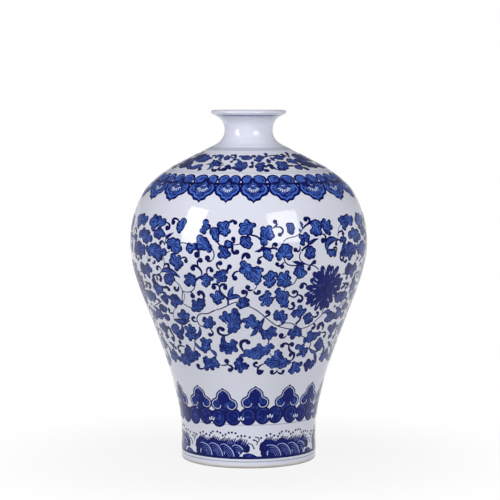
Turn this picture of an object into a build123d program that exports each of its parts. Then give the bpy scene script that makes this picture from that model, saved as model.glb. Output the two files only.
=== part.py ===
from build123d import *
from math import cos, radians, sin, tan
import os

# A meiping: a tall porcelain flower vase with high shoulders and a small flared mouth.
# Four sections are thrown, turned, and luted edge to edge with liquid clay (slip). The whole
# is glazed outside, inside and under the floor, and fired standing on its bare foot ring.
# Millimetres, +Z up along the axis of the wheel, origin at the middle of the foot.
# Each piece is a half cross-section, drawn as (radius, height), that is turned about +Z.

height = 320.0

# Glazed outside of the body: how far in from the belly's or the foot's radius each level of it
# lies, and how far that level is above, or below, the one before
foot_diameter = 124.0
waist_inset = 0.5
waist_height = 22.0
belly_diameter = 217.0
thigh_inset = 36.4
haunch_inset = 15.3
haunch_drop = 62.0
breast_inset = 4.5
breast_rise = 26.0
shoulder_inset = 16.0
shoulder_rise = 22.0
shoulder_top_inset = 30.0
shoulder_top_rise = 12.5
collar_inset = 41.6
collar_rise = 7.4

# Glazed outside of the straight collar, the neck and the flared mouth; angles in degrees
collar_slope = 27.2
neck_diameter = 44.2
neck_foot_radius = 14.0
throat_length = 0.9
mouth_flare_radius = 13.5
mouth_flare_angle = 66.0
lip_overhang = 3.5

# Thickness of the wall with its glaze, of one coat of glaze, and of a joint's slip
wall = 4.0
glaze = 0.4
slip = 1.0

# The foot ring, the recess that it stands round, and the floor over the recess
foot_ring_width = 7.0
foot_ring_depth = 7.0
foot_edge_radius = 2.6
recess_edge_radius = 1.5
recess_corner_radius = 2.0
floor_thickness = 6.5
floor_corner = 12.0

# Where the thrown sections meet: over the rounded floor corner, and over the haunch
base_seam_rise = 9.0
belly_seam_rise = 26.0

# Points that follow the body's outline when it is set back into the wall
outline_steps = 32
# How far a joint's cutting strip reaches past the wall on both sides
strip_reach = 1.0

foot_radius = foot_diameter / 2
belly_radius = belly_diameter / 2
collar_radius = belly_radius - collar_inset
neck_radius = neck_diameter / 2
recess_radius = foot_radius - foot_ring_width
floor_top = foot_ring_depth + floor_thickness
bare_height = foot_edge_radius

collar_rest = radians(collar_slope)
neck_turn = radians(90 - collar_slope)
flare_turn = radians(mouth_flare_angle)
collar_way = Vector(-cos(collar_rest), sin(collar_rest))
flare_way = Vector(sin(flare_turn), cos(flare_turn))

# Heights from the top down: past the flare the wall runs straight on and ends in a half-round edge
mouth_climb = (mouth_flare_radius + wall / 2) * sin(flare_turn)
lip_climb = flare_way.Y * lip_overhang + wall / 2
flare_foot_height = height - lip_climb - mouth_climb
throat_height = flare_foot_height - throat_length

# The neck's lower arc is tangent to the collar, which runs straight down to the shoulder
neck_foot_centre = Vector(neck_radius + neck_foot_radius, throat_height)
flare_centre = Vector(neck_radius + mouth_flare_radius, flare_foot_height)
collar_top_radius = neck_foot_centre.X - neck_foot_radius * cos(neck_turn)
collar_top_height = throat_height - neck_foot_radius * sin(neck_turn)
collar_height = collar_top_height - (collar_radius - collar_top_radius) * tan(collar_rest)

shoulder_top_height = collar_height - collar_rise
shoulder_height = shoulder_top_height - shoulder_top_rise
breast_height = shoulder_height - shoulder_rise
belly_height = breast_height - breast_rise
haunch_height = belly_height - haunch_drop
thigh_height = (waist_height + haunch_height) / 2

body_outline = Spline(
    (foot_radius, bare_height),
    (foot_radius - waist_inset, waist_height),
    (belly_radius - thigh_inset, thigh_height),
    (belly_radius - haunch_inset, haunch_height),
    (belly_radius, belly_height),
    (belly_radius - breast_inset, breast_height),
    (belly_radius - shoulder_inset, shoulder_height),
    (belly_radius - shoulder_top_inset, shoulder_top_height),
    (collar_radius, collar_height),
    tangents=[(0, 1), collar_way],
)


def inward(way):
    """The direction into the wall, square to a way up along it."""
    return Vector(-way.Y, way.X).normalized()


def body_point(share, depth):
    """A point this deep under the body's glazed outside, at a share of its length."""
    return body_outline @ share + inward(body_outline % share) * depth


def share_at_height(height, depth):
    """The share of the body's length where this depth passes a height, found by halving."""
    low, high = 0.0, 1.0
    for _ in range(50):
        middle = (low + high) / 2
        if body_point(middle, depth).Y < height:
            low = middle
        else:
            high = middle
    return low


def neck_foot_point(turn, depth):
    """A point on the neck's lower arc, turned down from the throat; the arc widens with depth."""
    return neck_foot_centre + Vector(-cos(turn), -sin(turn)) * (neck_foot_radius + depth)


def flare_point(turn, depth):
    """A point on the flare of the mouth, turned up from the throat; the arc widens with depth."""
    return flare_centre + Vector(-cos(turn), sin(turn)) * (mouth_flare_radius + depth)


def wall_line(depth, start=0.0):
    """The wall from the foot, or a share of the body's length, to the mouth, at a depth."""
    shares = [start + (1 - start) * i / outline_steps for i in range(outline_steps + 1)]
    points = [body_point(share, depth) for share in shares]
    body = Spline(*points, tangents=[body_outline % start, collar_way])
    collar = Line(points[-1], neck_foot_point(neck_turn, depth))
    neck_foot = ThreePointArc(
        neck_foot_point(neck_turn, depth),
        neck_foot_point(neck_turn / 2, depth),
        neck_foot_point(0, depth),
    )
    throat = Line(neck_foot_point(0, depth), flare_point(0, depth))
    flare = ThreePointArc(
        flare_point(0, depth),
        flare_point(flare_turn / 2, depth),
        flare_point(flare_turn, depth),
    )
    return [body, collar, neck_foot, throat, flare]


def lip_line(depth):
    """The lip, from the outside of the flare's end straight on, round its edge, to the inside."""
    start = flare_point(flare_turn, depth)
    end = flare_point(flare_turn, wall - depth)
    reach = flare_way * lip_overhang
    tip = flare_point(flare_turn, wall / 2) + reach + flare_way * (wall / 2 - depth)
    edge = ThreePointArc(start + reach, tip, end + reach)
    return [Line(start, start + reach), edge, Line(end + reach, end)]


# The inside wall ends where the floor's corner starts, an arc tangent to the wall and the floor
corner_share = share_at_height(floor_top + floor_corner, wall)
corner_inward = inward(body_outline % corner_share)
corner_radius = floor_corner / (1 - corner_inward.Y)
corner_centre = body_point(corner_share, wall) + corner_inward * corner_radius


def inside_line(depth):
    """The inside of the vase from the axis on the floor to the mouth, at a depth in the wall."""
    radius = corner_radius + wall - depth
    low = corner_centre + Vector(0, -radius)
    half_way = (Vector(0, -1) - corner_inward).normalized()
    middle = corner_centre + half_way * radius
    corner = ThreePointArc(low, middle, body_point(corner_share, depth))
    return [Line((0, low.Y), low), corner, *wall_line(depth, corner_share)]


# The recess's roundings are limited by the foot ring's own width and depth
recess_edge = min(recess_edge_radius, (foot_ring_width - foot_edge_radius) / 2)
recess_corner = min(recess_corner_radius, (foot_ring_depth - bare_height) / 2)


def recess_line(depth):
    """The recess under the floor, from the axis to the top of the bare foot, at a depth."""
    centre = Vector(recess_radius - recess_corner, foot_ring_depth - recess_corner)
    radius = recess_corner + depth
    top = centre + Vector(0, radius)
    side = centre + Vector(radius, 0)
    corner = ThreePointArc(top, centre + Vector(1, 1).normalized() * radius, side)
    return [Line((0, top.Y), top), corner, Line(side, (side.X, bare_height))]


def foot_line():
    """The bare foot ring, from the recess's glaze under the ring to the outside's glaze."""
    inner = Vector(recess_radius + recess_edge, recess_edge)
    outer = Vector(foot_radius - foot_edge_radius, foot_edge_radius)
    slant = Vector(1, 1).normalized()
    inner_low = inner - Vector(0, recess_edge)
    outer_low = outer - Vector(0, foot_edge_radius)
    inner_side = inner - Vector(recess_edge, 0)
    return [
        Line((recess_radius + glaze, bare_height), (recess_radius, bare_height)),
        Line((recess_radius, bare_height), inner_side),
        ThreePointArc(inner_side, inner - slant * recess_edge, inner_low),
        Line(inner_low, outer_low),
        ThreePointArc(
            outer_low,
            outer + Vector(slant.X, -slant.Y) * foot_edge_radius,
            (foot_radius, bare_height),
        ),
        Line((foot_radius, bare_height), (foot_radius - glaze, bare_height)),
    ]


def lip_meeting():
    """The short line on the inside of the lip where the outer and the inner glaze meet."""
    return Line(flare_point(flare_turn, wall - glaze), flare_point(flare_turn, wall))


def axis_line(low, high):
    """The part of the axis between the starts of two lines that leave it."""
    return Line(low[0] @ 0, high[0] @ 0)


def seam_strip(place, way):
    """A thin strip square across the wall, as thick as a joint's slip."""
    into = inward(way)
    along = way.normalized() * (slip / 2)
    outside = place - into * strip_reach
    inside = place + into * (wall + strip_reach)
    corners = [outside - along, outside + along, inside + along, inside - along]
    return make_face(Polyline(*corners, close=True))


def body_strip(height):
    """The strip of a joint at a height on the body's glazed outside."""
    share = share_at_height(height, 0)
    return seam_strip(body_outline @ share, body_outline % share)


def turned(section):
    """A half cross-section turned once round the axis of the wheel."""
    return revolve(Plane.XZ * section, Axis.Z)


outside_clay = wall_line(glaze)
inside_clay = inside_line(wall - glaze)
recess_clay = recess_line(glaze)
inside_skin = inside_line(wall)
recess_skin = recess_line(0)
clay = make_face(
    [*outside_clay, *lip_line(glaze), *inside_clay]
    + [*recess_clay, *foot_line(), axis_line(recess_clay, inside_clay)]
)

seam_strips = {
    "base_seam": body_strip(floor_top + floor_corner + base_seam_rise),
    "belly_seam": body_strip(haunch_height + belly_seam_rise),
    "neck_seam": seam_strip(neck_foot_point(neck_turn, 0), collar_way),
}
thrown_sections = clay
for strip in seam_strips.values():
    thrown_sections = thrown_sections - strip
thrown_names = ["base_and_foot", "lower_body", "upper_body", "neck_and_mouth"]

pieces = {}
for name, section in zip(thrown_names, thrown_sections.faces().sort_by(Axis.Y), strict=True):
    pieces[name] = turned(section)
for name, strip in seam_strips.items():
    pieces[name] = turned(clay & strip)

outer_foot_edge = Line((foot_radius - glaze, bare_height), (foot_radius, bare_height))
pieces["outer_glaze"] = turned(
    make_face(
        [*wall_line(0), *lip_line(0), lip_meeting(), *lip_line(glaze)]
        + [*outside_clay, outer_foot_edge]
    )
)
pieces["inner_glaze"] = turned(
    make_face(
        [*inside_skin, lip_meeting(), *inside_clay, axis_line(inside_clay, inside_skin)]
    )
)
recess_foot_edge = Line((recess_radius, bare_height), (recess_radius + glaze, bare_height))
pieces["underside_glaze"] = turned(
    make_face(
        [*recess_skin, recess_foot_edge, *recess_clay, axis_line(recess_skin, recess_clay)]
    )
)

os.makedirs("parts", exist_ok=True)
for name, piece in pieces.items():
    export_step(piece, f"parts/{name}.step")
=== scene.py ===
import bpy
import numpy as np
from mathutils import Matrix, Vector


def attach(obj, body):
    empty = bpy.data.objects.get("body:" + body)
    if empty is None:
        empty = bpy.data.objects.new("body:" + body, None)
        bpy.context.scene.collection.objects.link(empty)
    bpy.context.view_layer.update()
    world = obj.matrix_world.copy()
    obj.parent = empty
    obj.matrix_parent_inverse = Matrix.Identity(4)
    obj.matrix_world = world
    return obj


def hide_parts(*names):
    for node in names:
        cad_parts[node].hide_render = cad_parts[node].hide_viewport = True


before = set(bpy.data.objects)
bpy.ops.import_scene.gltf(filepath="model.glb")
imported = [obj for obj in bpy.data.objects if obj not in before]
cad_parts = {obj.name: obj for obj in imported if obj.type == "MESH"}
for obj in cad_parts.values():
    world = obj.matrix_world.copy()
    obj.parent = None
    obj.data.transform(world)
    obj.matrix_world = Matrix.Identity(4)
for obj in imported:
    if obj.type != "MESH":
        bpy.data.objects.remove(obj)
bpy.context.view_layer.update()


# Thrown clay: four sections of porcelain clay, thrown and turned on a wheel and fired hard.
# They are luted edge to edge with slip, the same clay as a cream. Only the foot ring stays bare.
def effect_group(name, inputs, outputs):
    """An empty node group whose sockets are given by name and kind, with its two end nodes."""
    group = bpy.data.node_groups.new(name, "ShaderNodeTree")
    for socket, kind in inputs.items():
        group.interface.new_socket(socket, in_out="INPUT", socket_type=kind)
    for socket, kind in outputs.items():
        group.interface.new_socket(socket, in_out="OUTPUT", socket_type=kind)
    return group, group.nodes.new("NodeGroupInput"), group.nodes.new("NodeGroupOutput")


def mottle_group():
    """Broad noise mixes a light and a dark colour, and fine noise gives the height of a grain."""
    group, inlet, outlet = effect_group(
        "kiln_mottle",
        {
            "Light": "NodeSocketColor",
            "Dark": "NodeSocketColor",
            "Patch Scale": "NodeSocketFloat",
            "Grain Scale": "NodeSocketFloat",
        },
        {"Colour": "NodeSocketColor", "Grain": "NodeSocketFloat"},
    )
    place = group.nodes.new("ShaderNodeTexCoord")
    patches = group.nodes.new("ShaderNodeTexNoise")
    patches.inputs["Detail"].default_value = 3.0
    grain = group.nodes.new("ShaderNodeTexNoise")
    grain.inputs["Detail"].default_value = 2.0
    mix = group.nodes.new("ShaderNodeMix")
    mix.data_type = "RGBA"
    group.links.new(place.outputs["Object"], patches.inputs["Vector"])
    group.links.new(place.outputs["Object"], grain.inputs["Vector"])
    group.links.new(inlet.outputs["Patch Scale"], patches.inputs["Scale"])
    group.links.new(inlet.outputs["Grain Scale"], grain.inputs["Scale"])
    group.links.new(patches.outputs["Fac"], mix.inputs["Factor"])
    group.links.new(inlet.outputs["Light"], mix.inputs["A"])
    group.links.new(inlet.outputs["Dark"], mix.inputs["B"])
    group.links.new(mix.outputs["Result"], outlet.inputs["Colour"])
    group.links.new(grain.outputs["Fac"], outlet.inputs["Grain"])
    return group


kiln_mottle = mottle_group()


def group_finish(name, group, values):
    """A material whose colour comes from a node group, with these values on the group's inputs."""
    finish = bpy.data.materials.new(name)
    finish.use_nodes = True
    tree = finish.node_tree
    effect = tree.nodes.new("ShaderNodeGroup")
    effect.node_tree = group
    for socket, value in values.items():
        effect.inputs[socket].default_value = value
    tree.links.new(effect.outputs["Colour"], tree.nodes["Principled BSDF"].inputs["Base Color"])
    return finish, effect


def fired_finish(name, light, dark, patch_scale, grain_scale, grain_depth, roughness):
    """A fired surface: two mottled colours, a grain this many metres deep, and one roughness."""
    values = {
        "Light": (*light, 1),
        "Dark": (*dark, 1),
        "Patch Scale": patch_scale,
        "Grain Scale": grain_scale,
    }
    finish, mottle = group_finish(name, kiln_mottle, values)
    tree = finish.node_tree
    shader = tree.nodes["Principled BSDF"]
    bump = tree.nodes.new("ShaderNodeBump")
    bump.inputs["Distance"].default_value = grain_depth
    tree.links.new(mottle.outputs["Grain"], bump.inputs["Height"])
    tree.links.new(bump.outputs["Normal"], shader.inputs["Normal"])
    shader.inputs["Roughness"].default_value = roughness
    return finish


def dress(names, finish):
    """Give these pieces of the CAD model one finish in place of their plain one."""
    for name in names:
        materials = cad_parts[name].data.materials
        materials.clear()
        materials.append(finish)


bare_porcelain = fired_finish(
    "bare_porcelain",
    light=(0.8, 0.77, 0.73),
    dark=(0.66, 0.6, 0.54),
    patch_scale=90,
    grain_scale=1600,
    grain_depth=0.00025,
    roughness=0.72,
)
slip_clay = fired_finish(
    "slip",
    light=(0.82, 0.78, 0.72),
    dark=(0.7, 0.65, 0.58),
    patch_scale=60,
    grain_scale=900,
    grain_depth=0.0003,
    roughness=0.8,
)
dress(("base_and_foot", "lower_body", "upper_body", "neck_and_mouth"), bare_porcelain)
dress(("base_seam", "belly_seam", "neck_seam"), slip_clay)


# Inner and underside glaze: clear glaze poured inside and brushed under the floor, so that the
# vase holds water. It fires to a glossy bluish white, a little thicker and bluer where it runs.
clear_glaze = fired_finish(
    "clear_glaze",
    light=(0.78, 0.81, 0.86),
    dark=(0.68, 0.74, 0.83),
    patch_scale=25,
    grain_scale=220,
    grain_depth=0.00006,
    roughness=0.08,
)
clear_glaze.node_tree.nodes["Principled BSDF"].inputs["Coat Weight"].default_value = 0.5
dress(("inner_glaze", "underside_glaze"), clear_glaze)


# Outer glaze: the glossy coat over the painting, from just above the bare foot over the flared
# lip. It replaces the coat of the CAD model with the same outline, turned as one smooth skin.
# Its sizes are in millimetres.
millimetre = 0.001
height = 320.0
wall = 4.0
glaze = 0.4
foot_radius = 62.0
bare_height = 2.6
waist_inset = 0.5
waist_height = 22.0
belly_radius = 108.5
thigh_inset = 36.4
haunch_inset = 15.3
haunch_drop = 62.0
breast_inset = 4.5
breast_rise = 26.0
shoulder_inset = 16.0
shoulder_rise = 22.0
shoulder_top_inset = 30.0
shoulder_top_rise = 12.5
collar_inset = 41.6
collar_rise = 7.4
collar_slope = np.radians(27.2)
neck_radius = 22.1
neck_foot_radius = 14.0
throat_length = 0.9
flare_radius = 13.5
flare_turn = np.radians(66.0)
lip_overhang = 3.5
lip_run_rows = 4
# How firmly the body's curve sets off upwards at the foot, and arrives along the collar
foot_pull = 1.1
collar_pull = 1.65
glaze_columns = 288

collar_radius = belly_radius - collar_inset
flare_way = np.array([np.sin(flare_turn), np.cos(flare_turn)])
collar_way = np.array([-np.cos(collar_slope), np.sin(collar_slope)])
lip_climb = flare_way[1] * lip_overhang + wall / 2
mouth_climb = (flare_radius + wall / 2) * np.sin(flare_turn)
flare_foot_height = height - lip_climb - mouth_climb
throat_height = flare_foot_height - throat_length
neck_turn = np.pi / 2 - collar_slope
neck_foot_centre = np.array([neck_radius + neck_foot_radius, throat_height])
flare_centre = np.array([neck_radius + flare_radius, flare_foot_height])
collar_top = neck_foot_centre - neck_foot_radius * np.array([np.cos(neck_turn), np.sin(neck_turn)])
collar_height = collar_top[1] - (collar_radius - collar_top[0]) * np.tan(collar_slope)
shoulder_top_height = collar_height - collar_rise
shoulder_height = shoulder_top_height - shoulder_top_rise
breast_height = shoulder_height - shoulder_rise
belly_height = breast_height - breast_rise
haunch_height = belly_height - haunch_drop
body_levels = np.array(
    [
        (foot_radius, bare_height),
        (foot_radius - waist_inset, waist_height),
        (belly_radius - thigh_inset, (waist_height + haunch_height) / 2),
        (belly_radius - haunch_inset, haunch_height),
        (belly_radius, belly_height),
        (belly_radius - breast_inset, breast_height),
        (belly_radius - shoulder_inset, shoulder_height),
        (belly_radius - shoulder_top_inset, shoulder_top_height),
        (collar_radius, collar_height),
    ]
)


def cubic_piece(start, end, leave, arrive, t):
    """Places and ways at the shares t of a cubic that leaves its start and arrives at its end so."""
    bend = 3 * (end - start) - 2 * leave - arrive
    twist = 2 * (start - end) + leave + arrive
    place = start + leave * t + bend * t**2 + twist * t**3
    return place, leave + 2 * bend * t + 3 * twist * t**2


def smooth_curve(points, count, first_way=None, last_way=None):
    """Cubic pieces through points, bending evenly across each one, as places and directions.
    The slope at each point makes the second derivative agree on both sides of it."""
    points = np.asarray(points, float)
    chords = np.diff(points, axis=0)
    spans = np.linalg.norm(chords, axis=1)
    knots = np.concatenate([[0], np.cumsum(spans)])
    size = len(points)
    system = np.eye(size)
    inner = np.arange(1, size - 1)
    system[inner, inner - 1] = 1 / spans[:-1]
    system[inner, inner] = 2 / spans[:-1] + 2 / spans[1:]
    system[inner, inner + 1] = 1 / spans[1:]
    wanted = np.zeros((size, 2))
    wanted[0] = chords[0] / spans[0] if first_way is None else first_way
    wanted[-1] = chords[-1] / spans[-1] if last_way is None else last_way
    pulls = 3 * chords / spans[:, None] ** 2
    wanted[inner] = pulls[:-1] + pulls[1:]
    slopes = np.linalg.solve(system, wanted)
    along = np.linspace(0, knots[-1], count)
    piece = np.clip(np.searchsorted(knots, along, side="right") - 1, 0, size - 2)
    span = spans[piece][:, None]
    t = (along[:, None] - knots[piece][:, None]) / span
    leave = slopes[piece] * span
    arrive = slopes[piece + 1] * span
    place, way = cubic_piece(points[piece], points[piece + 1], leave, arrive, t)
    return place, way / np.linalg.norm(way, axis=1, keepdims=True)


def round_ways(turns):
    """Directions of length one: the cosine and the sine of each turn."""
    return np.stack([np.cos(turns), np.sin(turns)], axis=1)


def coat_outline(depth, body_rows, neck_rows, lip_rows):
    """Radius and height from the foot to the inside of the lip, this deep in the wall, with the
    outward directions: the body's curve, the straight collar, the arcs of the neck and the flare,
    and the lip, where the wall runs straight on past the flare and ends in a half-round edge."""
    body, way = smooth_curve(body_levels, body_rows, (0, foot_pull), collar_way * collar_pull)
    out = np.stack([way[:, 1], -way[:, 0]], axis=1)
    share = np.linspace(0, 1, neck_rows)[1:-1, None]
    collar = body[-1] + (collar_top - body[-1]) * share
    collar_out = np.repeat([[collar_way[1], -collar_way[0]]], len(collar), axis=0)
    neck_in = round_ways(np.linspace(np.pi + neck_turn, np.pi, neck_rows))
    neck = neck_foot_centre + (neck_foot_radius + depth) * neck_in
    flare_in = round_ways(np.linspace(np.pi, np.pi - flare_turn, neck_rows))
    flare = flare_centre + (flare_radius + depth) * flare_in
    inward = np.array([-flare_way[1], flare_way[0]])
    edge_centre = flare_centre + inward * (flare_radius + wall / 2) + flare_way * lip_overhang
    edge_out = round_ways(np.linspace(-flare_turn, np.pi - flare_turn, lip_rows))
    edge = edge_centre + edge_out * (wall / 2 - depth)
    run = flare_way * lip_overhang * np.arange(1, lip_run_rows + 1)[:, None] / lip_run_rows
    under = flare[-1] + run[:-1]
    inside = edge[-1] - run
    under_out = np.repeat(edge_out[:1], len(under), axis=0)
    inside_out = np.repeat(edge_out[-1:], len(inside), axis=0)
    places = [body - out * depth, collar - collar_out * depth, neck, flare, under, edge, inside]
    outward = [out, collar_out, -neck_in, -flare_in, under_out, edge_out, inside_out]
    return np.concatenate(places), np.concatenate(outward)


def new_piece(name, places, triangles, normals, finish):
    """A mesh in metres from places in millimetres, with its own normals and one finish."""
    mesh = bpy.data.meshes.new(name)
    mesh.vertices.add(len(places))
    mesh.vertices.foreach_set("co", (places * millimetre).astype(np.float32).ravel())
    mesh.loops.add(triangles.size)
    mesh.loops.foreach_set("vertex_index", triangles.astype(np.int32).ravel())
    mesh.polygons.add(len(triangles))
    mesh.polygons.foreach_set("loop_start", np.arange(0, triangles.size, 3, dtype=np.int32))
    mesh.update(calc_edges=True)
    mesh.normals_split_custom_set_from_vertices(normals)
    mesh.materials.append(finish)
    piece = bpy.data.objects.new(name, mesh)
    bpy.context.scene.collection.objects.link(piece)
    return piece


def grid_triangles(rows, columns, loop_rows=False, loop_columns=False):
    """Two triangles for each cell of a grid, which may close on itself either way."""
    row = np.arange(rows if loop_rows else rows - 1)[:, None]
    column = np.arange(columns if loop_columns else columns - 1)[None, :]
    next_row = (row + 1) % rows
    next_column = (column + 1) % columns
    a = row * columns + column
    b = row * columns + next_column
    c = next_row * columns + next_column
    d = next_row * columns + column
    return np.stack([a, b, c, a, c, d], axis=-1).reshape(-1, 3)


def turned(section, columns):
    """Pairs of radius and height turned once round the axis from the front, a row for each pair."""
    turns = np.arange(columns) * 2 * np.pi / columns
    round_way = np.stack([np.sin(turns), -np.cos(turns)], axis=1)
    level = np.repeat(section[:, None, 1:], columns, axis=1)
    return np.concatenate([section[:, None, :1] * round_way, level], axis=2).reshape(-1, 3)


skin, skin_out = coat_outline(0, body_rows=110, neck_rows=14, lip_rows=24)
clay_side, clay_out = coat_outline(glaze, body_rows=60, neck_rows=8, lip_rows=9)
coat_section = np.concatenate([skin, clay_side[::-1]])
coat_section_out = np.concatenate([skin_out, -clay_out[::-1]])
painted_glaze = fired_finish(
    "painted_glaze",
    light=(0.8, 0.815, 0.93),
    dark=(0.765, 0.785, 0.905),
    patch_scale=18,
    grain_scale=160,
    grain_depth=0.00005,
    roughness=0.06,
)
painted_glaze.node_tree.nodes["Principled BSDF"].inputs["IOR"].default_value = 1.45
glaze_coat = new_piece(
    "glaze_coat",
    turned(coat_section, glaze_columns),
    grid_triangles(len(coat_section), glaze_columns, loop_rows=True, loop_columns=True),
    turned(coat_section_out, glaze_columns),
    painted_glaze,
)
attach(glaze_coat, "root")
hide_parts("outer_glaze")


# Neck rings: cobalt ground fine in water and brushed on the raw clay while the vase turns on the
# wheel, then fired under the glaze. Two grey-blue lines close a pale wash at the foot of the neck,
# and a darker one runs round the lip.
band_columns = 288
bake_margin = 0.01
# A band's height off the glaze, the depth under its skin at which all paint ends, and the width
# of the slope between them, in millimetres
band_lift = 0.05
sunk_edge = -0.03
band_slope = 0.25
# Painting on the shoulder and the lip is laid out flat round these radii, up from these levels
shoulder_radius = 70.0
shoulder_level = 228.0
lip_radius = 30.0
lip_level = 310.0
fine_line, fine_out = coat_outline(0, body_rows=3000, neck_rows=300, lip_rows=200)
fine_steps = np.linalg.norm(np.diff(fine_line, axis=0), axis=1)
fine_middles = (fine_line[1:, 0] + fine_line[:-1, 0]) / 2
fine_climb = np.concatenate([[0], np.cumsum(fine_steps / fine_middles)])
fine_top = int(np.argmax(fine_line[:, 1]))


def climb_of(level):
    """The climb of a height: length up the outline over the radius, added up from the foot. In
    turn and climb a small shape keeps its shape wherever it lies on the vase."""
    return np.interp(level, fine_line[:fine_top, 1], fine_climb[:fine_top])


def on_glaze(turn, climb, lift):
    """Places and outward directions at a turn from the front and a climb, this far off the glaze."""
    out_radius = np.interp(climb, fine_climb, fine_out[:, 0])
    out_height = np.interp(climb, fine_climb, fine_out[:, 1])
    radius = np.interp(climb, fine_climb, fine_line[:, 0]) + out_radius * lift
    level = np.interp(climb, fine_climb, fine_line[:, 1]) + out_height * lift
    sine = np.sin(turn)
    cosine = np.cos(turn)
    places = np.stack([radius * sine, -radius * cosine, level], axis=-1)
    return places, np.stack([out_radius * sine, -out_radius * cosine, out_height], axis=-1)


def pooling_group():
    """Cobalt is dark where the brush left much of it: load plus streaky noise mixes two blues."""
    group, inlet, outlet = effect_group(
        "brush_pooling",
        {
            "Thin": "NodeSocketColor",
            "Thick": "NodeSocketColor",
            "Load": "NodeSocketFloat",
            "Streak Scale": "NodeSocketFloat",
            "Streak Depth": "NodeSocketFloat",
        },
        {"Colour": "NodeSocketColor"},
    )
    place = group.nodes.new("ShaderNodeTexCoord")
    streaks = group.nodes.new("ShaderNodeTexNoise")
    streaks.inputs["Detail"].default_value = 4.0
    centred = group.nodes.new("ShaderNodeMath")
    centred.operation = "SUBTRACT"
    centred.inputs[1].default_value = 0.5
    added = group.nodes.new("ShaderNodeMath")
    added.operation = "MULTIPLY_ADD"
    added.use_clamp = True
    mix = group.nodes.new("ShaderNodeMix")
    mix.data_type = "RGBA"
    group.links.new(place.outputs["Object"], streaks.inputs["Vector"])
    group.links.new(inlet.outputs["Streak Scale"], streaks.inputs["Scale"])
    group.links.new(streaks.outputs["Fac"], centred.inputs[0])
    group.links.new(centred.outputs["Value"], added.inputs[0])
    group.links.new(inlet.outputs["Streak Depth"], added.inputs[1])
    group.links.new(inlet.outputs["Load"], added.inputs[2])
    group.links.new(added.outputs["Value"], mix.inputs["Factor"])
    group.links.new(inlet.outputs["Thin"], mix.inputs["A"])
    group.links.new(inlet.outputs["Thick"], mix.inputs["B"])
    group.links.new(mix.outputs["Result"], outlet.inputs["Colour"])
    return group


brush_pooling = pooling_group()


def cobalt_finish(name, thin, thick, streak_scale, streak_depth):
    """Cobalt under the glaze: the mesh's own load of colour, streaked, under a gloss that is weaker
    and bluer than the bare glaze's."""
    values = {
        "Thin": (*thin, 1),
        "Thick": (*thick, 1),
        "Streak Scale": streak_scale,
        "Streak Depth": streak_depth,
    }
    finish, pooling = group_finish(name, brush_pooling, values)
    tree = finish.node_tree
    load = tree.nodes.new("ShaderNodeAttribute")
    load.attribute_name = "load"
    tree.links.new(load.outputs["Fac"], pooling.inputs["Load"])
    shader = tree.nodes["Principled BSDF"]
    shader.inputs["Roughness"].default_value = 0.06
    shader.inputs["IOR"].default_value = 1.34
    shader.inputs["Specular Tint"].default_value = (0.42, 0.48, 0.8, 1)
    return finish


def painted_piece(name, patches, radius, level, finish, repeats=1):
    """One mesh of many patches, each in millimetres round and up from a level, as (places, lifts,
    loads, triangles). All are repeated evenly round the vase; each repeat has its own bake strip."""
    starts = np.cumsum([0] + [len(patch[0]) for patch in patches[:-1]])
    flat = np.concatenate([patch[0] for patch in patches])
    lifts = np.concatenate([patch[1] for patch in patches])
    loads = np.concatenate([patch[2] for patch in patches])
    corners = np.concatenate([patch[3] + start for patch, start in zip(patches, starts)])
    count = np.arange(repeats)[:, None]
    turn = flat[:, 0] / radius + count * 2 * np.pi / repeats
    climb = climb_of(level) + np.repeat(flat[None, :, 1], repeats, axis=0) / radius
    places, normals = on_glaze(turn, climb, lifts)
    triangles = (corners[None] + count[..., None] * len(flat)).reshape(-1, 3)
    piece = new_piece(name, places.reshape(-1, 3), triangles, normals.reshape(-1, 3), finish)
    mesh = piece.data
    mesh.attributes.new("load", "FLOAT", "POINT")
    mesh.attributes["load"].data.foreach_set("value", np.tile(loads, repeats).astype(np.float32))
    spread = (flat - flat.min(axis=0)) / np.ptp(flat, axis=0)
    strips = np.repeat(spread[None], repeats, axis=0)
    strips[..., 1] = (strips[..., 1] * (1 - 2 * bake_margin) + bake_margin + count) / repeats
    bake_map = mesh.uv_layers.new(name="OFBake")
    bake_map.data.foreach_set("uv", strips.reshape(-1, 2)[triangles.ravel()].astype(np.float32).ravel())
    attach(piece, "root")
    return piece


def wheel_band(low, high, radius, load):
    """A brushed band all the way round, whose edges run under the glaze's skin."""
    slope = min(band_slope, (high - low) / 4)
    rows = np.array([low, low + slope, high - slope, high])
    across = np.arange(band_columns) * 2 * np.pi * radius / band_columns
    flat = np.stack(np.meshgrid(across, rows), axis=-1).reshape(-1, 2)
    lifts = np.repeat([sunk_edge, band_lift, band_lift, sunk_edge], band_columns)
    triangles = grid_triangles(len(rows), band_columns, loop_columns=True)
    return flat, lifts, np.full(len(flat), load), triangles


grey_wash = cobalt_finish(
    "grey_wash", thin=(0.62, 0.67, 0.78), thick=(0.2, 0.25, 0.4), streak_scale=60, streak_depth=0.5
)
neck_bands = [
    wheel_band(88.5, 96.5, shoulder_radius, load=0.15),
    wheel_band(87.6, 89.4, shoulder_radius, load=0.7),
    wheel_band(95.6, 97.2, shoulder_radius, load=0.6),
]
painted_piece("neck_rings", neck_bands, shoulder_radius, shoulder_level, grey_wash)
lip_band = wheel_band(7.5, 10.1, lip_radius, load=1.4)
painted_piece("lip_ring", [lip_band], lip_radius, lip_level, grey_wash)


# Lotus scroll: the wide band of the body, painted freehand and repeated three times round. Leaves,
# hooked tendrils and a lotus grow from a waving stem; outlines are dark, and washed in with blue.
# All places are a turn in degrees and millimetres up from the foot of the band.
scroll_radius = 100.0
scroll_level = 70.0
scroll_repeats = 3
scroll_swell = 0.5
# Millimetres between places along an edge or a stroke, and between the rings of a wash
brush_step = 1.1
ring_step = 2.6
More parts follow.
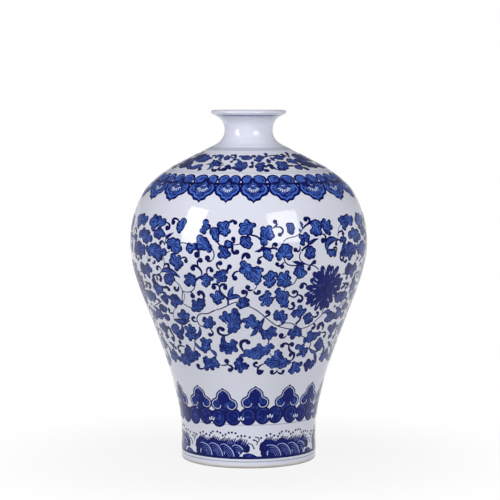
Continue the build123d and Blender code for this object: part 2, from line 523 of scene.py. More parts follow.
# The fewest and the most places along a smooth edge, a lobed edge and a stroke
edge_places = (24, 72)
lobed_places = (24, 84)
stroke_places = (5, 400)
# A wash slopes to its edge in this width, and has its even load at this share of the way out
wash_slope = 0.2
even_share = 0.6
# An outline's sides slope in about this width; where they lie on a wash, they end this far down
line_slope = 0.1
line_drop = 0.05
# Places round a dot, and the share of its radius that lies flat
dot_spokes = 12
dot_flat_share = 0.85
# A lobe's size: its share of the gaps beside it, its limits, and its largest share of the leaf
lobe_share = 0.25
lobe_least = 1.0
lobe_most = 3.4
lobe_of_leaf = 0.6
# How far out the lines that join the lobes are drawn, and the least reach from a leaf's middle
lobe_waist = 0.95
leaf_least = 0.6
# Veins: where they start between the middle and the stalk, the places they pass, and their width
vein_base = 0.45
vein_shares = (0.2, 0.5, 0.85)
vein_width = 1.3
# Dark leaves: how deep they are nicked, and their load of colour, which is thin for a dark line
dark_leaf_nick = 0.08
dark_leaf_load = 0.2
# How wide the strokes are brushed, and how large the balls, beside what the lists below say
stem_spread = 1.35
hook_spread = 2.0
ball_spread = 1.65
blade_dark_spread = 1.6
blade_blue_spread = 0.7
# A leaf's load of colour: at the foot of the band, how it falls with height, so that leaves are darker
# towards the bottom, how much and how fast it sways from leaf to leaf, and the painted shade that
# darkens leaves towards the sides, full at this turn
leaf_load = 0.74
leaf_load_fall = 0.0016
leaf_load_sway = 0.1
leaf_sway_beat = 17
leaf_side_painted_shade = 0.17
leaf_side_shade_turn = 60


def chart_points(numbers, radius):
    """Pairs of degrees and millimetres as flat millimetres."""
    points = np.asarray(numbers, float).reshape(-1, 2)
    return points * [np.radians(1) * radius, 1]


def towards_middle(edge):
    """The direction from each place on a closed edge to the middle of it."""
    inward = edge.mean(axis=0) - edge
    return inward / np.linalg.norm(inward, axis=1, keepdims=True)


def leaf_edge(tips, nick=0.0):
    """A closed line through the lobe tips, bending evenly at each and nicked towards the middle
    between neighbours, by a share of their distance. Returned as even steps along the line."""
    ahead = np.roll(tips, -1, axis=0)
    spans = np.linalg.norm(ahead - tips, axis=1)
    slopes = (ahead - np.roll(tips, 1, axis=0)) / (spans + np.roll(spans, 1))[:, None]
    knots = np.concatenate([[0], np.cumsum(spans)])
    count = int(np.clip(knots[-1] / brush_step, *edge_places))
    along = np.arange(count) * knots[-1] / count
    piece = np.searchsorted(knots, along, side="right") - 1
    span = spans[piece][:, None]
    t = (along[:, None] - knots[piece][:, None]) / span
    leave = slopes[piece] * span
    arrive = np.roll(slopes, -1, axis=0)[piece] * span
    edge = cubic_piece(tips[piece], ahead[piece], leave, arrive, t)[0]
    depth = nick * span * (1 - np.sin(np.pi / 2 * np.abs(2 * t - 1)))
    return edge + towards_middle(edge) * depth


def lobed_edge(tips):
    """A closed line of round lobes. In each direction from the middle it lies as far out as the
    farthest of the circles that fit inside the tips and of the lines that join their centres."""
    middle = tips.mean(axis=0)
    reach = np.linalg.norm(tips - middle, axis=1)
    gaps = np.linalg.norm(np.roll(tips, -1, axis=0) - tips, axis=1)
    largest = np.minimum(lobe_most, lobe_of_leaf * reach)
    sizes = np.clip(lobe_share * (gaps + np.roll(gaps, 1)), lobe_least, largest)
    centres = (tips - middle) * (1 - sizes / reach)[:, None]
    spans = np.roll(centres, -1, axis=0) - centres
    look = round_ways(np.arange(360) * np.pi / 180)
    aside = look[:, :1] * centres[:, 1] - look[:, 1:] * centres[:, 0]
    across = look[:, :1] * spans[:, 1] - look[:, 1:] * spans[:, 0]
    across = np.where(np.abs(across) < 1e-9, 1e-9, across)
    joined = (centres[:, 0] * spans[:, 1] - centres[:, 1] * spans[:, 0]) / across
    on_line = np.abs(0.5 + aside / across) <= 0.5
    round_tip = look @ centres.T + np.sqrt(np.maximum(sizes**2 - aside**2, 0))
    joined = np.where(on_line, joined, leaf_least) * lobe_waist
    far = np.maximum(np.where(np.abs(aside) < sizes, round_tip, leaf_least), joined)
    fine = look * far.max(axis=1)[:, None]
    fine = np.concatenate([fine, fine[:1]])
    along = np.concatenate([[0], np.cumsum(np.linalg.norm(np.diff(fine, axis=0), axis=1))])
    count = int(np.clip(along[-1], *lobed_places))
    steps = np.arange(count) * along[-1] / count
    return middle + np.stack([np.interp(steps, along, fine[:, i]) for i in (0, 1)], axis=1)


def disc_triangles(rings, spokes):
    """Triangles of a disc: a middle, which is the first place, and rings of places round it."""
    spoke = np.arange(spokes)
    hub = np.stack([np.zeros(spokes, int), spoke + 1, (spoke + 1) % spokes + 1], axis=1)
    return np.concatenate([hub, grid_triangles(rings, spokes, loop_columns=True)[:, ::-1] + 1])


def wash_patch(edge, load, fade=0.3, lift=0.07, under=sunk_edge):
    """Wash inside an edge: rings from the middle out to the edge, which runs under the glaze; the
    load of colour falls by fade from the middle to the rim."""
    middle = edge.mean(axis=0)
    spokes = len(edge)
    reach = np.linalg.norm(edge - middle, axis=1).max()
    rings = int(np.ceil(reach / ring_step)) + 1
    shares = np.append(np.arange(1, rings) / rings, [1 - wash_slope / reach, 1])
    flat = (middle + (edge - middle) * shares[:, None, None]).reshape(-1, 2)
    flat = np.concatenate([[middle], flat])
    lifts = np.full(len(flat), lift)
    lifts[-spokes:] = under
    out = np.concatenate([[0], np.repeat(shares, spokes)])
    loads = load + fade * (even_share - out)
    return flat, lifts, loads, disc_triangles(len(shares), spokes)


def outline_patch(edge, width, inset=0.0, load=0.6, lift=0.1):
    """A line that follows a closed edge just inside it, or inset from it; its sides run under."""
    inward = towards_middle(edge)
    depths = (inset - line_slope, inset + line_slope, inset + width - line_slope, inset + width)
    flat = np.concatenate([edge + inward * depth for depth in depths])
    inner = lift - line_drop
    outer = sunk_edge if inset == 0 else inner
    lifts = np.repeat([outer, lift, lift, inner], len(edge))
    triangles = grid_triangles(len(depths), len(edge), loop_columns=True)
    return flat, lifts, np.full(len(flat), load), triangles


def stroke_patch(points, width, start=0.4, end=1.0, belly=0.0, load=0.6, lift=0.07, under=sunk_edge):
    """A brush stroke through points: shares of the width at its start and end, and more in the
    middle by belly. Its sides and ends run under the glaze, or under the wash that it lies on."""
    points = np.asarray(points, float)
    length = np.linalg.norm(np.diff(points, axis=0), axis=1).sum()
    count = int(np.clip(length / brush_step, *stroke_places))
    spine, way = smooth_curve(points, count)
    share = np.linspace(0, 1, count)
    half = width / 2 * (start + (end - start) * share + belly * np.sin(np.pi * share) ** 1.2)
    side = np.stack([-way[:, 1], way[:, 0]], axis=1) * half[:, None]
    across = np.array([1, 0.75, -0.75, -1])
    flat = (spine[:, None] + side[:, None] * across[None, :, None]).reshape(-1, 2)
    lifts = np.tile([under, lift, lift, under], count)
    lifts[:4] = under
    lifts[-4:] = under
    return flat, lifts, np.full(len(flat), load), grid_triangles(count, len(across))


def dot_patch(place, radius, load=0.6, lift=0.08):
    """A round touch of the brush: a middle, a ring on the glaze and a rim under it."""
    ring = round_ways(np.arange(dot_spokes) * 2 * np.pi / dot_spokes) * radius
    flat = np.concatenate([[place], place + ring * dot_flat_share, place + ring])
    lifts = np.concatenate([np.full(dot_spokes + 1, lift), np.full(dot_spokes, sunk_edge)])
    return flat, lifts, np.full(len(flat), load), disc_triangles(2, dot_spokes)


# Leaves by their lobe tips in turn, from the top of the band down
scroll_leaves = (
    (-43.2, 174.8, -47.5, 179, -53.5, 179.3, -56, 174, -53, 167.3, -49.5, 170.3, -45.3, 172.3),
    (-31.8, 178.3, -35.6, 175, -36, 169.2, -34.6, 166.2, -33, 168.5, -31.8, 173),
    (-20.6, 178.3, -22.3, 172, -23, 167.8, -21.2, 166.2, -19.8, 169.5, -18.1, 172.7, -20, 175),
    (-48, 169.6, -51, 164.4, -48.6, 161.5, -46.8, 159.9, -45.3, 162, -43, 164.2, -44.5, 167.5),
    (-38.5, 161.8, -41.2, 159.3, -37, 156.5, -38.9, 153.3, -38.3, 151.3, -35, 149.4, -32.5, 152.8,
     -33.6, 157, -34, 160.8),
    (-49.5, 156.8, -53.5, 154.6, -57.3, 152, -55.7, 148, -51.5, 145.3, -48.8, 144.5, -47, 141.8,
     -44, 147.5, -41.6, 150.2, -45.5, 154),
    (-38.4, 149, -40.1, 142.8, -38.6, 140, -36, 139.5, -36.3, 135, -34, 137.5, -32, 141, -33.4, 144,
     -33.6, 147.9, -35.9, 146.4),
    (-24, 164.8, -24.6, 159, -24.2, 154.5, -20.5, 153.2, -17.6, 152, -17.3, 155.5, -18.5, 160,
     -20.5, 163.5),
    (-29.3, 157.8, -30, 153.5, -28.2, 150.3, -26.3, 152.6, -24.4, 155, -25, 157.8, -27.3, 157.2),
    (-57.5, 166.5, -61.5, 167.3, -65, 163, -60, 157.3, -55.5, 156.3, -51.8, 159.5, -54, 161.8),
    (-17.6, 170.8, -15.6, 161.5, -14.4, 159.8, -14.6, 164, -13.8, 168.6, -15.2, 171.4),
    (-14.4, 175.6, -14, 169, -12.4, 166, -10.4, 164.7, -8.5, 168, -9.6, 171, -10.2, 177,
     -12.6, 173),
    (-0.9, 178.6, -2, 176, -4.3, 174.2, -3.2, 170.5, -4, 166.8, 0.6, 166, 1.8, 171.4, 3.4, 174.2,
     1.2, 175.8),
    (-3.2, 164.3, -3.8, 159.5, -2.2, 156, 0.5, 155, 1.8, 158.3, 0.2, 160, 0, 164.8),
    (-10.1, 161.3, -11, 158.5, -10.5, 155.5, -8, 156, -7.5, 159.3),
    (-13.2, 157, -12.7, 153, -13.9, 148, -11.6, 149, -10.4, 146.9, -8.3, 149.6, -9.4, 153.5,
     -10.5, 157),
    (6.2, 172.2, 5.6, 167.5, 5.8, 162.5, 6.6, 157.5, 7.2, 164, 9.2, 165.4, 10.6, 162, 12, 164.6,
     11.2, 168.6, 10.2, 173.2, 8.2, 169.5),
    (7.3, 154.5, 6.8, 149.5, 8.2, 146.5, 10.2, 145, 11.3, 148, 9.4, 150.5, 9.5, 154),
    (15.8, 158.3, 14, 154.5, 12.6, 149, 13.5, 145.6, 15.3, 148.5, 17.3, 148.6, 19.5, 145.8, 20.8, 148,
     20.2, 152.5, 20.3, 156, 18.2, 158.2),
    (18.6, 175, 18.4, 171, 19, 167.2, 20.6, 166, 22, 171, 21, 175),
    (31.2, 176, 31.4, 169.8, 30.3, 166.6, 33, 163.8, 36.2, 164.8, 35.4, 168.4, 36.9, 171, 35, 173.4,
     35.7, 176.4, 33.6, 177.4),
    (38.5, 177.7, 36.6, 174.8, 37.8, 168.5, 39.3, 165.3, 41.4, 164, 41.5, 167.8, 43.7, 169.9, 42.3, 173,
     42.6, 176.3, 40.3, 175.2),
    (27.8, 167, 26, 164.8, 24.2, 164.8, 25, 161, 24.7, 157.6, 26, 156.6, 26.1, 159.8, 27.2, 161.2,
     29.2, 160.4, 29.4, 164.2),
    (30, 156, 27.6, 153.6, 28.4, 150.6, 26.9, 148.2, 29.2, 145.5, 32.1, 146.8, 31.2, 150.6, 32.4, 153.1),
    (40.5, 152, 39.3, 150.6, 41.4, 146.6, 43, 147.9, 45.2, 146.9, 45.5, 150.2, 43.5, 152, 42, 152.3),
    (48.4, 160.8, 48.2, 158.2, 50, 158.5, 51.2, 156.4, 52.6, 157.8, 53, 160, 51, 162),
    (50, 155, 49.3, 152, 48.2, 147.8, 51.5, 147, 55, 145.2, 57, 141.8, 59, 146, 62, 148, 62, 152.5,
     58.5, 155, 55.3, 157),
    (48.8, 176.6, 49.8, 173, 51.4, 171.8, 51, 168.5, 52.5, 167, 54.3, 169.5, 56, 171.2, 60.5, 173,
     62, 176.5, 58, 179.2, 55, 179.2, 51, 178.6),
    (-56.4, 138.7, -61, 135, -63, 131.5, -59.9, 128.8, -58.2, 126, -56.4, 131.3, -53.9, 134.2,
     -56, 135.6),
    (-44, 131.2, -45.6, 127.5, -45.3, 123.2, -42.3, 121.6, -40, 124.5, -38.3, 127.2, -38.8, 131,
     -40.6, 134.2, -42.2, 131),
    (-28.8, 133.8, -30.2, 130.2, -32, 131.4, -31.6, 127.6, -32.7, 124.6, -31.2, 122, -28.6, 125,
     -27, 122.8, -26, 127.5, -26.3, 131.4),
    (-20.4, 134, -21.8, 132.4, -23.3, 130.2, -21.8, 127.3, -22.8, 124, -21.2, 121.9, -19.3, 124,
     -18.6, 127, -16.9, 129.9, -18.3, 131.2),
    (-30.2, 108.4, -30.6, 102.5, -31.3, 97.8, -28, 97.2, -24.8, 100.5, -22.9, 105.5, -22.9, 110.2,
     -25, 110.6, -28.4, 106.8),
    (-52.2, 122.8, -54, 120.2, -56.6, 118, -55.2, 114.4, -54.7, 110.8, -51.5, 112.6, -49, 114.6,
     -48.2, 118.6, -50.3, 120.3),
    (-47.9, 114.4, -50, 110.6, -52.3, 108.2, -50.6, 104.6, -49, 102.2, -47.2, 104.6, -46.5, 108.4,
     -44.9, 110.6, -46.8, 112),
    (-42, 113.2, -45, 110, -44.3, 106, -45, 102.5, -43, 100, -40, 103, -36.8, 105.4, -39.4, 107.2,
     -38.1, 110, -39.4, 112.8),
    (-11.8, 137.6, -13.4, 136.6, -15.1, 135.8, -14.4, 133.6, -16.6, 131.9, -15, 129.2, -14.9, 126,
     -13, 127.2, -10.9, 127.6, -10.1, 130.8, -11.2, 132.8, -10, 136.9),
    (-3.4, 144.5, -4.1, 138.4, -2, 133, -0.6, 129.6, 2, 127.2, 4.3, 124.7, 5.7, 127.4, 6.3, 131.8,
     5.6, 134.6, 6.8, 138.2, 4.8, 140, 1.8, 139.2, -0.8, 142.2),
    (10.5, 136.8, 8.6, 134, 7, 131.8, 8.6, 128.4, 7.7, 124.2, 10.1, 121.7, 11.9, 123.8, 13, 126.6,
     10.6, 130, 11.8, 132.4, 13.4, 134.6),
    (15, 135, 13.5, 130.6, 14.8, 127.2, 14.3, 123.6, 18.2, 121.9, 20.6, 123.6, 17.8, 127.4, 19.2, 127.8,
     20.5, 130.4, 19, 133, 18.6, 136.4, 16.4, 133.2),
    (-15.3, 119, -16.9, 115.4, -19.4, 115, -18.4, 111.4, -17.8, 107.6, -16.2, 105.4, -14.2, 107,
     -14.2, 110, -12.2, 113, -13.8, 115.6),
    (-3.6, 112.6, -4.8, 110.6, -4.4, 107.6, -6.1, 104.8, -4.6, 101.9, -2.4, 103, 0.2, 105, -0.7, 108.4,
     0.3, 110.8, -1.6, 113.2),
    (9.2, 119.3, 7.4, 115.6, 5.2, 112.4, 7.4, 109, 6.7, 104.8, 8.6, 106, 10.3, 103.9, 11.8, 107,
     12.6, 110.8, 9.6, 111.6, 9.8, 114.2, 10.8, 117),
    (14.4, 121.4, 13.3, 119, 13.7, 114, 14.2, 110, 16, 106.4, 17.9, 102.6, 20.4, 102.4, 20.7, 106.4,
     20, 111, 20.7, 114.8, 19.7, 117.8, 16.6, 118.6),
    (23.5, 141.4, 22.3, 138, 21.6, 134.2, 23, 132, 24.8, 129.2, 26.9, 130.4, 28.7, 133.6, 27.2, 136,
     25.4, 136.8, 26, 140.6),
    (55.3, 110.5, 55.5, 108.4, 57.5, 106, 59, 102.5, 61.5, 106, 63, 110, 60.5, 113, 58, 113.8),
    (-37.8, 98.5, -40.2, 93.8, -42.6, 91.6, -39.5, 88, -36, 87.5, -34.6, 90, -33.9, 94, -36, 94.6),
    (-25.2, 91.8, -26.1, 88.6, -24.4, 84.6, -25.6, 80.4, -21.6, 80, -20.6, 82.6, -18.5, 85.6, -20.2, 88.8,
     -20.5, 92.7, -23.2, 90.2),
    (-48.5, 81.4, -51.8, 76, -51.2, 71.5, -48.6, 69.2, -44.5, 71.6, -46, 75.6, -44.4, 79, -45.6, 81.6),
    (-55.4, 63.8, -54, 60.4, -52.3, 62.2, -51.8, 65.8, -53.5, 65.4),
    (-35.2, 83.2, -37, 78.6, -39.5, 80, -38.8, 74.2, -40.6, 69.2, -38.6, 67.4, -38.2, 63.8, -34.6, 66.4,
     -32.4, 71, -33.6, 75, -31.8, 77, -32.4, 80, -33.8, 80.4),
    (-57.4, 95, -60.5, 95.5, -63, 92, -62, 86, -59, 84.5, -57.3, 86.2, -55.8, 89.5),
    (-6.6, 101.8, -9.6, 96.6, -13.2, 98.6, -13.7, 95.4, -16, 92.8, -14.6, 89.5, -12, 89.8, -10.4, 86,
     -10.6, 80, -10.8, 75, -7.6, 76, -5.2, 80.2, -3.7, 87.6, -4.6, 92, -4.9, 97),
    (1.8, 95.8, -0.6, 92.4, -3.3, 90, -1.1, 86, -1.7, 81.6, 1.4, 83.4, 3.2, 80.6, 5.8, 83.6, 6, 87.6,
     3.4, 90.2, 3.6, 93),
    (13.4, 83, 12, 81, 11.4, 77.4, 9, 77.4, 6, 78.8, 7.4, 73.6, 8.5, 68.6, 10.4, 71, 12.4, 67.6,
     14.2, 71.4, 16.7, 72.8, 15.4, 77, 15.8, 80.8),
    (14.4, 99.4, 13.5, 96, 13.8, 91.2, 15.2, 89.2, 16.6, 91.2, 18.4, 88.6, 20, 85.6, 21.4, 90.4,
     21.3, 94.4, 19.6, 95.2, 18.4, 99.4, 16.2, 97.4),
    (55, 113.8, 52.2, 112.4, 51, 108.6, 52.6, 104.4, 55.4, 102.8, 57.6, 105.4, 59.4, 109.4, 57.4, 112.6),
    (28.1, 103.8, 26.2, 99.6, 24.2, 98.4, 23.4, 95, 25, 91.9, 26.8, 94, 29.6, 91.6, 31.4, 94.8,
     32.3, 98.8, 29.6, 99.8),
    (34.8, 95.8, 32.8, 94.4, 31.4, 91.6, 34.2, 88.6, 33, 86, 34.2, 83.2, 36.4, 83.6, 38.3, 86.4,
     36.2, 90.6, 36.3, 93.8),
    (48.4, 95.4, 49.6, 91.8, 50, 88.4, 48.2, 84.8, 51.4, 82.6, 54.8, 84, 53.8, 89.4, 55.8, 91.2, 52, 94.4),
    (27.5, 82.4, 27, 79, 26.4, 77, 23.8, 77.2, 23.2, 73.4, 25.8, 71, 26.6, 67, 29.8, 71.2, 32.8, 70.8,
     32.2, 76, 30.2, 79.8),
    (38.6, 75.4, 37.1, 73.6, 37.4, 69.4, 35.2, 65.4, 35.8, 62, 39.4, 61.6, 42.6, 63, 45.6, 65.6, 48.4, 70,
     47.6, 72.4, 45, 71.6, 42.6, 72.6, 40.2, 72.2),
    (54, 76.8, 56.4, 72, 59, 69.4, 62.5, 71, 64, 76, 61.5, 80.5, 57.4, 78.2),
    (-41.4, 58.6, -43.8, 54, -45.8, 47.4, -50.2, 43.2, -54.3, 37.4, -50.2, 33.4, -45.6, 32, -42, 36.2,
     -38.2, 39, -34.8, 42.8, -32.5, 47.6, -34, 50.8, -38.6, 51.6, -39.8, 56),
    (-27.8, 69.2, -29.8, 67, -29.6, 62, -30, 58, -31.2, 53.4, -28.8, 50.4, -26.4, 53.6, -24.4, 56,
     -24, 62, -22.8, 66.8, -26, 66.8),
    (-29, 46.2, -31, 44, -31.3, 39.6, -30.6, 35, -31, 28.8, -26.8, 31.6, -25, 28.8, -23, 34, -20.2, 33.2,
     -19.4, 36.6, -20.3, 40.6, -21.8, 45.6, -24.4, 44, -27, 43.4),
    (-57.4, 50.4, -60, 48.2, -64, 45, -64.5, 38, -60.4, 33.6, -57.2, 37.6, -53.4, 40.2, -54.6, 46),
    (-8.8, 68, -10.8, 63.2, -13.4, 63.4, -16.2, 66.4, -18, 60, -18, 54.2, -15.6, 54.8, -14.2, 50.4,
     -12.8, 52.4, -11.4, 50.5, -9.8, 54.6, -6.7, 55, -7.6, 60.8, -6.8, 65.6),
    (6.2, 63.5, 4.2, 59, 1.6, 55.4, -2.8, 54, -3.1, 50.8, -0.6, 47.6, 2.8, 44.8, 6.4, 44, 9.2, 48,
     12.6, 51, 13.6, 54.6, 15.9, 59.6, 14.4, 62.6, 12.4, 60.2, 9.6, 58.8, 7.8, 60.4),
    (-1.4, 39.2, -3.4, 38.2, -4.4, 40, -4.6, 46, -7.2, 45.6, -9.4, 40, -9, 36, -9.3, 31.4, -6.9, 31.4,
     -5.8, 26.6, -3.4, 31, -0.6, 32.6, 0.4, 36),
    (18.8, 55.6, 17, 54, 17.4, 50.4, 15.2, 47.6, 14.6, 44, 11.8, 43.6, 10.3, 39.6, 12.4, 36.2, 15, 32.6,
     19, 33, 22.8, 31.4, 26, 33.8, 28.8, 38.2, 26, 41, 22.8, 46.6, 20.8, 52.8),
    (30.5, 58.9, 34.2, 51.6, 36.6, 46.8, 38.9, 44.2, 40.6, 49.4, 40.8, 53.4, 37.2, 56, 35.6, 60.2,
     33.6, 58.2),
    (32.4, 47, 34.2, 46, 35.6, 48, 33.6, 49.6),
    (48.8, 65.6, 46.4, 60.8, 45.4, 57.4, 47, 54.2, 49.6, 53.6, 50, 50.2, 53.6, 50.6, 55.2, 55, 52.8, 61.6),
    (42.6, 40.2, 40.3, 34.2, 42, 28.6, 43.4, 24.8, 46.2, 29, 48.8, 27.4, 51, 31.6, 51.4, 36, 49.2, 37.8,
     46.4, 35.8, 44.8, 39.2),
    (31, 39.4, 30.6, 36.4, 32.4, 32, 29.6, 30.8, 28.4, 26.4, 31, 23, 34.4, 26.4, 37.8, 25.4, 36.8, 32.6,
     38.8, 36.6, 34.4, 37.6),
    (62.6, 97.5, 65, 93.6, 68.6, 94.2, 70, 97.6, 67.6, 100.6, 64.6, 100.8),
    (64.6, 88.4, 66.4, 84.6, 69.4, 85.8, 69.8, 89.4, 67.6, 91.6),
    (71.4, 67.6, 73, 64.6, 76.4, 65, 77.4, 68, 75, 70.4, 72.6, 70.2),
)
# Small dark leaves, brushed in one load without a wash
scroll_dark_leaves = (
    (56, 140, 53.6, 135, 54.6, 129.6, 58.6, 132, 60, 137),
    (66.6, 128, 63.6, 124.6, 64.6, 119, 68, 120.6),
    (51.6, 152.6, 49, 149, 50.4, 145.4, 53.4, 148.4),
    (56.6, 92, 53.4, 89.6, 54.4, 84.6, 58.4, 86),
    (61, 70, 57.6, 67, 58.6, 62, 62.6, 64.6),
    (-37.5, 166.5, -40.3, 165.2, -42.5, 163, -41.5, 160.5, -39, 163.6),
    (-57, 145, -56.2, 142.6, -57.3, 140.2, -54.2, 141.2, -53.2, 144.3, -55, 143),
    (2.7, 152.6, 5, 151.8, 7, 154, 6.8, 156.4, 5, 154.7),
    (34.6, 161.7, 32, 162, 29.8, 160.3, 29.2, 156.8, 31, 157.6, 32.4, 159.4),
    (20.5, 144, 22.6, 141.6, 24.5, 140, 27.5, 141.3, 25.3, 143.2, 23, 144.6),
)
# Stems: width, then the points they pass
scroll_stems = (
    (0.9, -62, 98.9, -58, 101, -55, 103, -52.3, 105.4),
    (0.9, -17.5, 100, -15, 101.2, -10.6, 105, -6, 108.3, -3, 108, 0, 104.7, 4, 100.4, 8.3, 94, 12, 88.4,
     16, 83.4, 20, 80.8, 23, 79.4, 28, 78.8, 33, 79, 37, 81, 40, 84.6, 42.5, 88.8, 44.4, 92.4,
     44.2, 96, 44.6, 100),
    (1.0, -17.5, 100, -20, 97.8, -23, 95.6, -26.5, 95.2, -28.6, 92.8, -29.6, 89, -29.3, 85.3, -28.2, 82.4,
     -26, 81),
    (0.9, -44, 166.5, -42.5, 163.5, -42, 161, -42.4, 158.4, -43, 155.4),
    (0.6, -33.6, 157, -32.3, 158.5, -30.5, 158.2, -29, 157.6),
    (0.7, -39, 151.6, -40.6, 150.2, -41.8, 149.6),
    (0.7, -44.6, 147, -43.6, 144.4, -43.6, 141.6, -44.4, 137, -45.6, 134.8, -48, 131.4, -50.6, 130),
    (0.8, -17.4, 156, -16.2, 152, -16, 148.5, -16.8, 145.4),
    (1.1, -14.4, 159.8, -13.6, 158, -12.5, 157),
    (1.3, 0.6, 166, 3.5, 164.8, 5.5, 162, 6.5, 158.5, 7.2, 155.4),
    (0.7, -7, 158, -4.8, 158.2, -3.4, 159.2),
    (1.4, 5.5, 155.9, 8, 155.4, 10, 154.8, 12, 155.2, 13.6, 153.8),
    (0.9, 16.3, 149.5, 16.6, 146.5, 17.5, 143, 19, 141.3, 21, 140.6, 23, 140.6),
    (0.7, 16, 160, 18, 162.5, 21, 163.7, 24.4, 166.3, 26, 170, 28.5, 173.2, 31, 175),
    (1.1, 26, 170, 28.5, 173.2, 31.4, 175),
    (1.6, 25, 152, 26.5, 154.5, 28.5, 156.6, 29, 158.8, 28.8, 161),
    (0.8, 25, 152, 24.2, 149, 24.5, 145.5, 26.5, 142.5, 29, 140.6, 31.5, 140, 33.5, 138.5, 35.4, 136),
    (1.2, 43, 160.4, 46, 160.3, 48, 159.3, 50, 160),
    (0.5, 50.4, 172.4, 48.5, 170, 47.4, 167, 46.8, 162),
    (0.8, -38.6, 126.6, -37, 124, -35.6, 121, -35, 118, -35.2, 115, -36, 111, -36.3, 107.5, -36.4, 105.5,
     -34.8, 103, -33, 101.6, -31, 101),
    (0.5, -34.8, 116.8, -34.1, 114, -34.8, 109.6, -36, 106),
    (0.8, -35, 117, -33, 116.4, -30.5, 116.7, -28.5, 118.5, -27.4, 121, -27, 123.4),
    (1.8, -26.4, 127, -25, 129.4, -23.5, 130.6, -22.2, 131),
    (0.7, 4, 125.5, 3.8, 122.5, 2.6, 120),
    (0.8, 5.6, 132, 7.2, 131.9),
    (0.8, 20, 123.4, 22, 124.5, 23.2, 127.5, 23.6, 130.4),
    (0.7, 18.4, 122, 17.8, 119.4, 17.5, 117),
    (1.5, -14.1, 123, -14.1, 119.4, -12.8, 115.6, -11.2, 112.6, -10.4, 109.5, -10.6, 105.2),
    (1.6, 10.5, 109.8, 12, 111.3, 13.8, 113.2),
    (0.9, 52, 130.3, 54, 130.6, 57, 132.4, 59, 134, 62, 134.6, 64, 135),
    (0.6, -46.6, 88, -45.7, 93, -43.8, 97.6, -41, 100.4),
    (0.9, -34.7, 64, -35, 60, -36, 55, -37.6, 51.8),
    (1.2, 20, 85.6, 18.5, 84.2, 16.5, 83),
    (0.9, 20.4, 86, 23, 85.7, 25.4, 84.7, 27.2, 82.6),
    (2.0, 29.7, 92, 29.4, 88.6, 28.2, 86, 27.2, 83.2),
    (0.9, 32.6, 70.8, 34.5, 68.9, 36.8, 67.6),
    (1.2, 12, 68, 12.1, 65, 11.6, 61.6),
    (0.8, 13.4, 52, 14.4, 48.5, 15.2, 46),
    (1.0, 28.4, 38.3, 31.2, 38.7),
    (1.2, 41.6, 62, 41.8, 57, 41, 53.4),
)
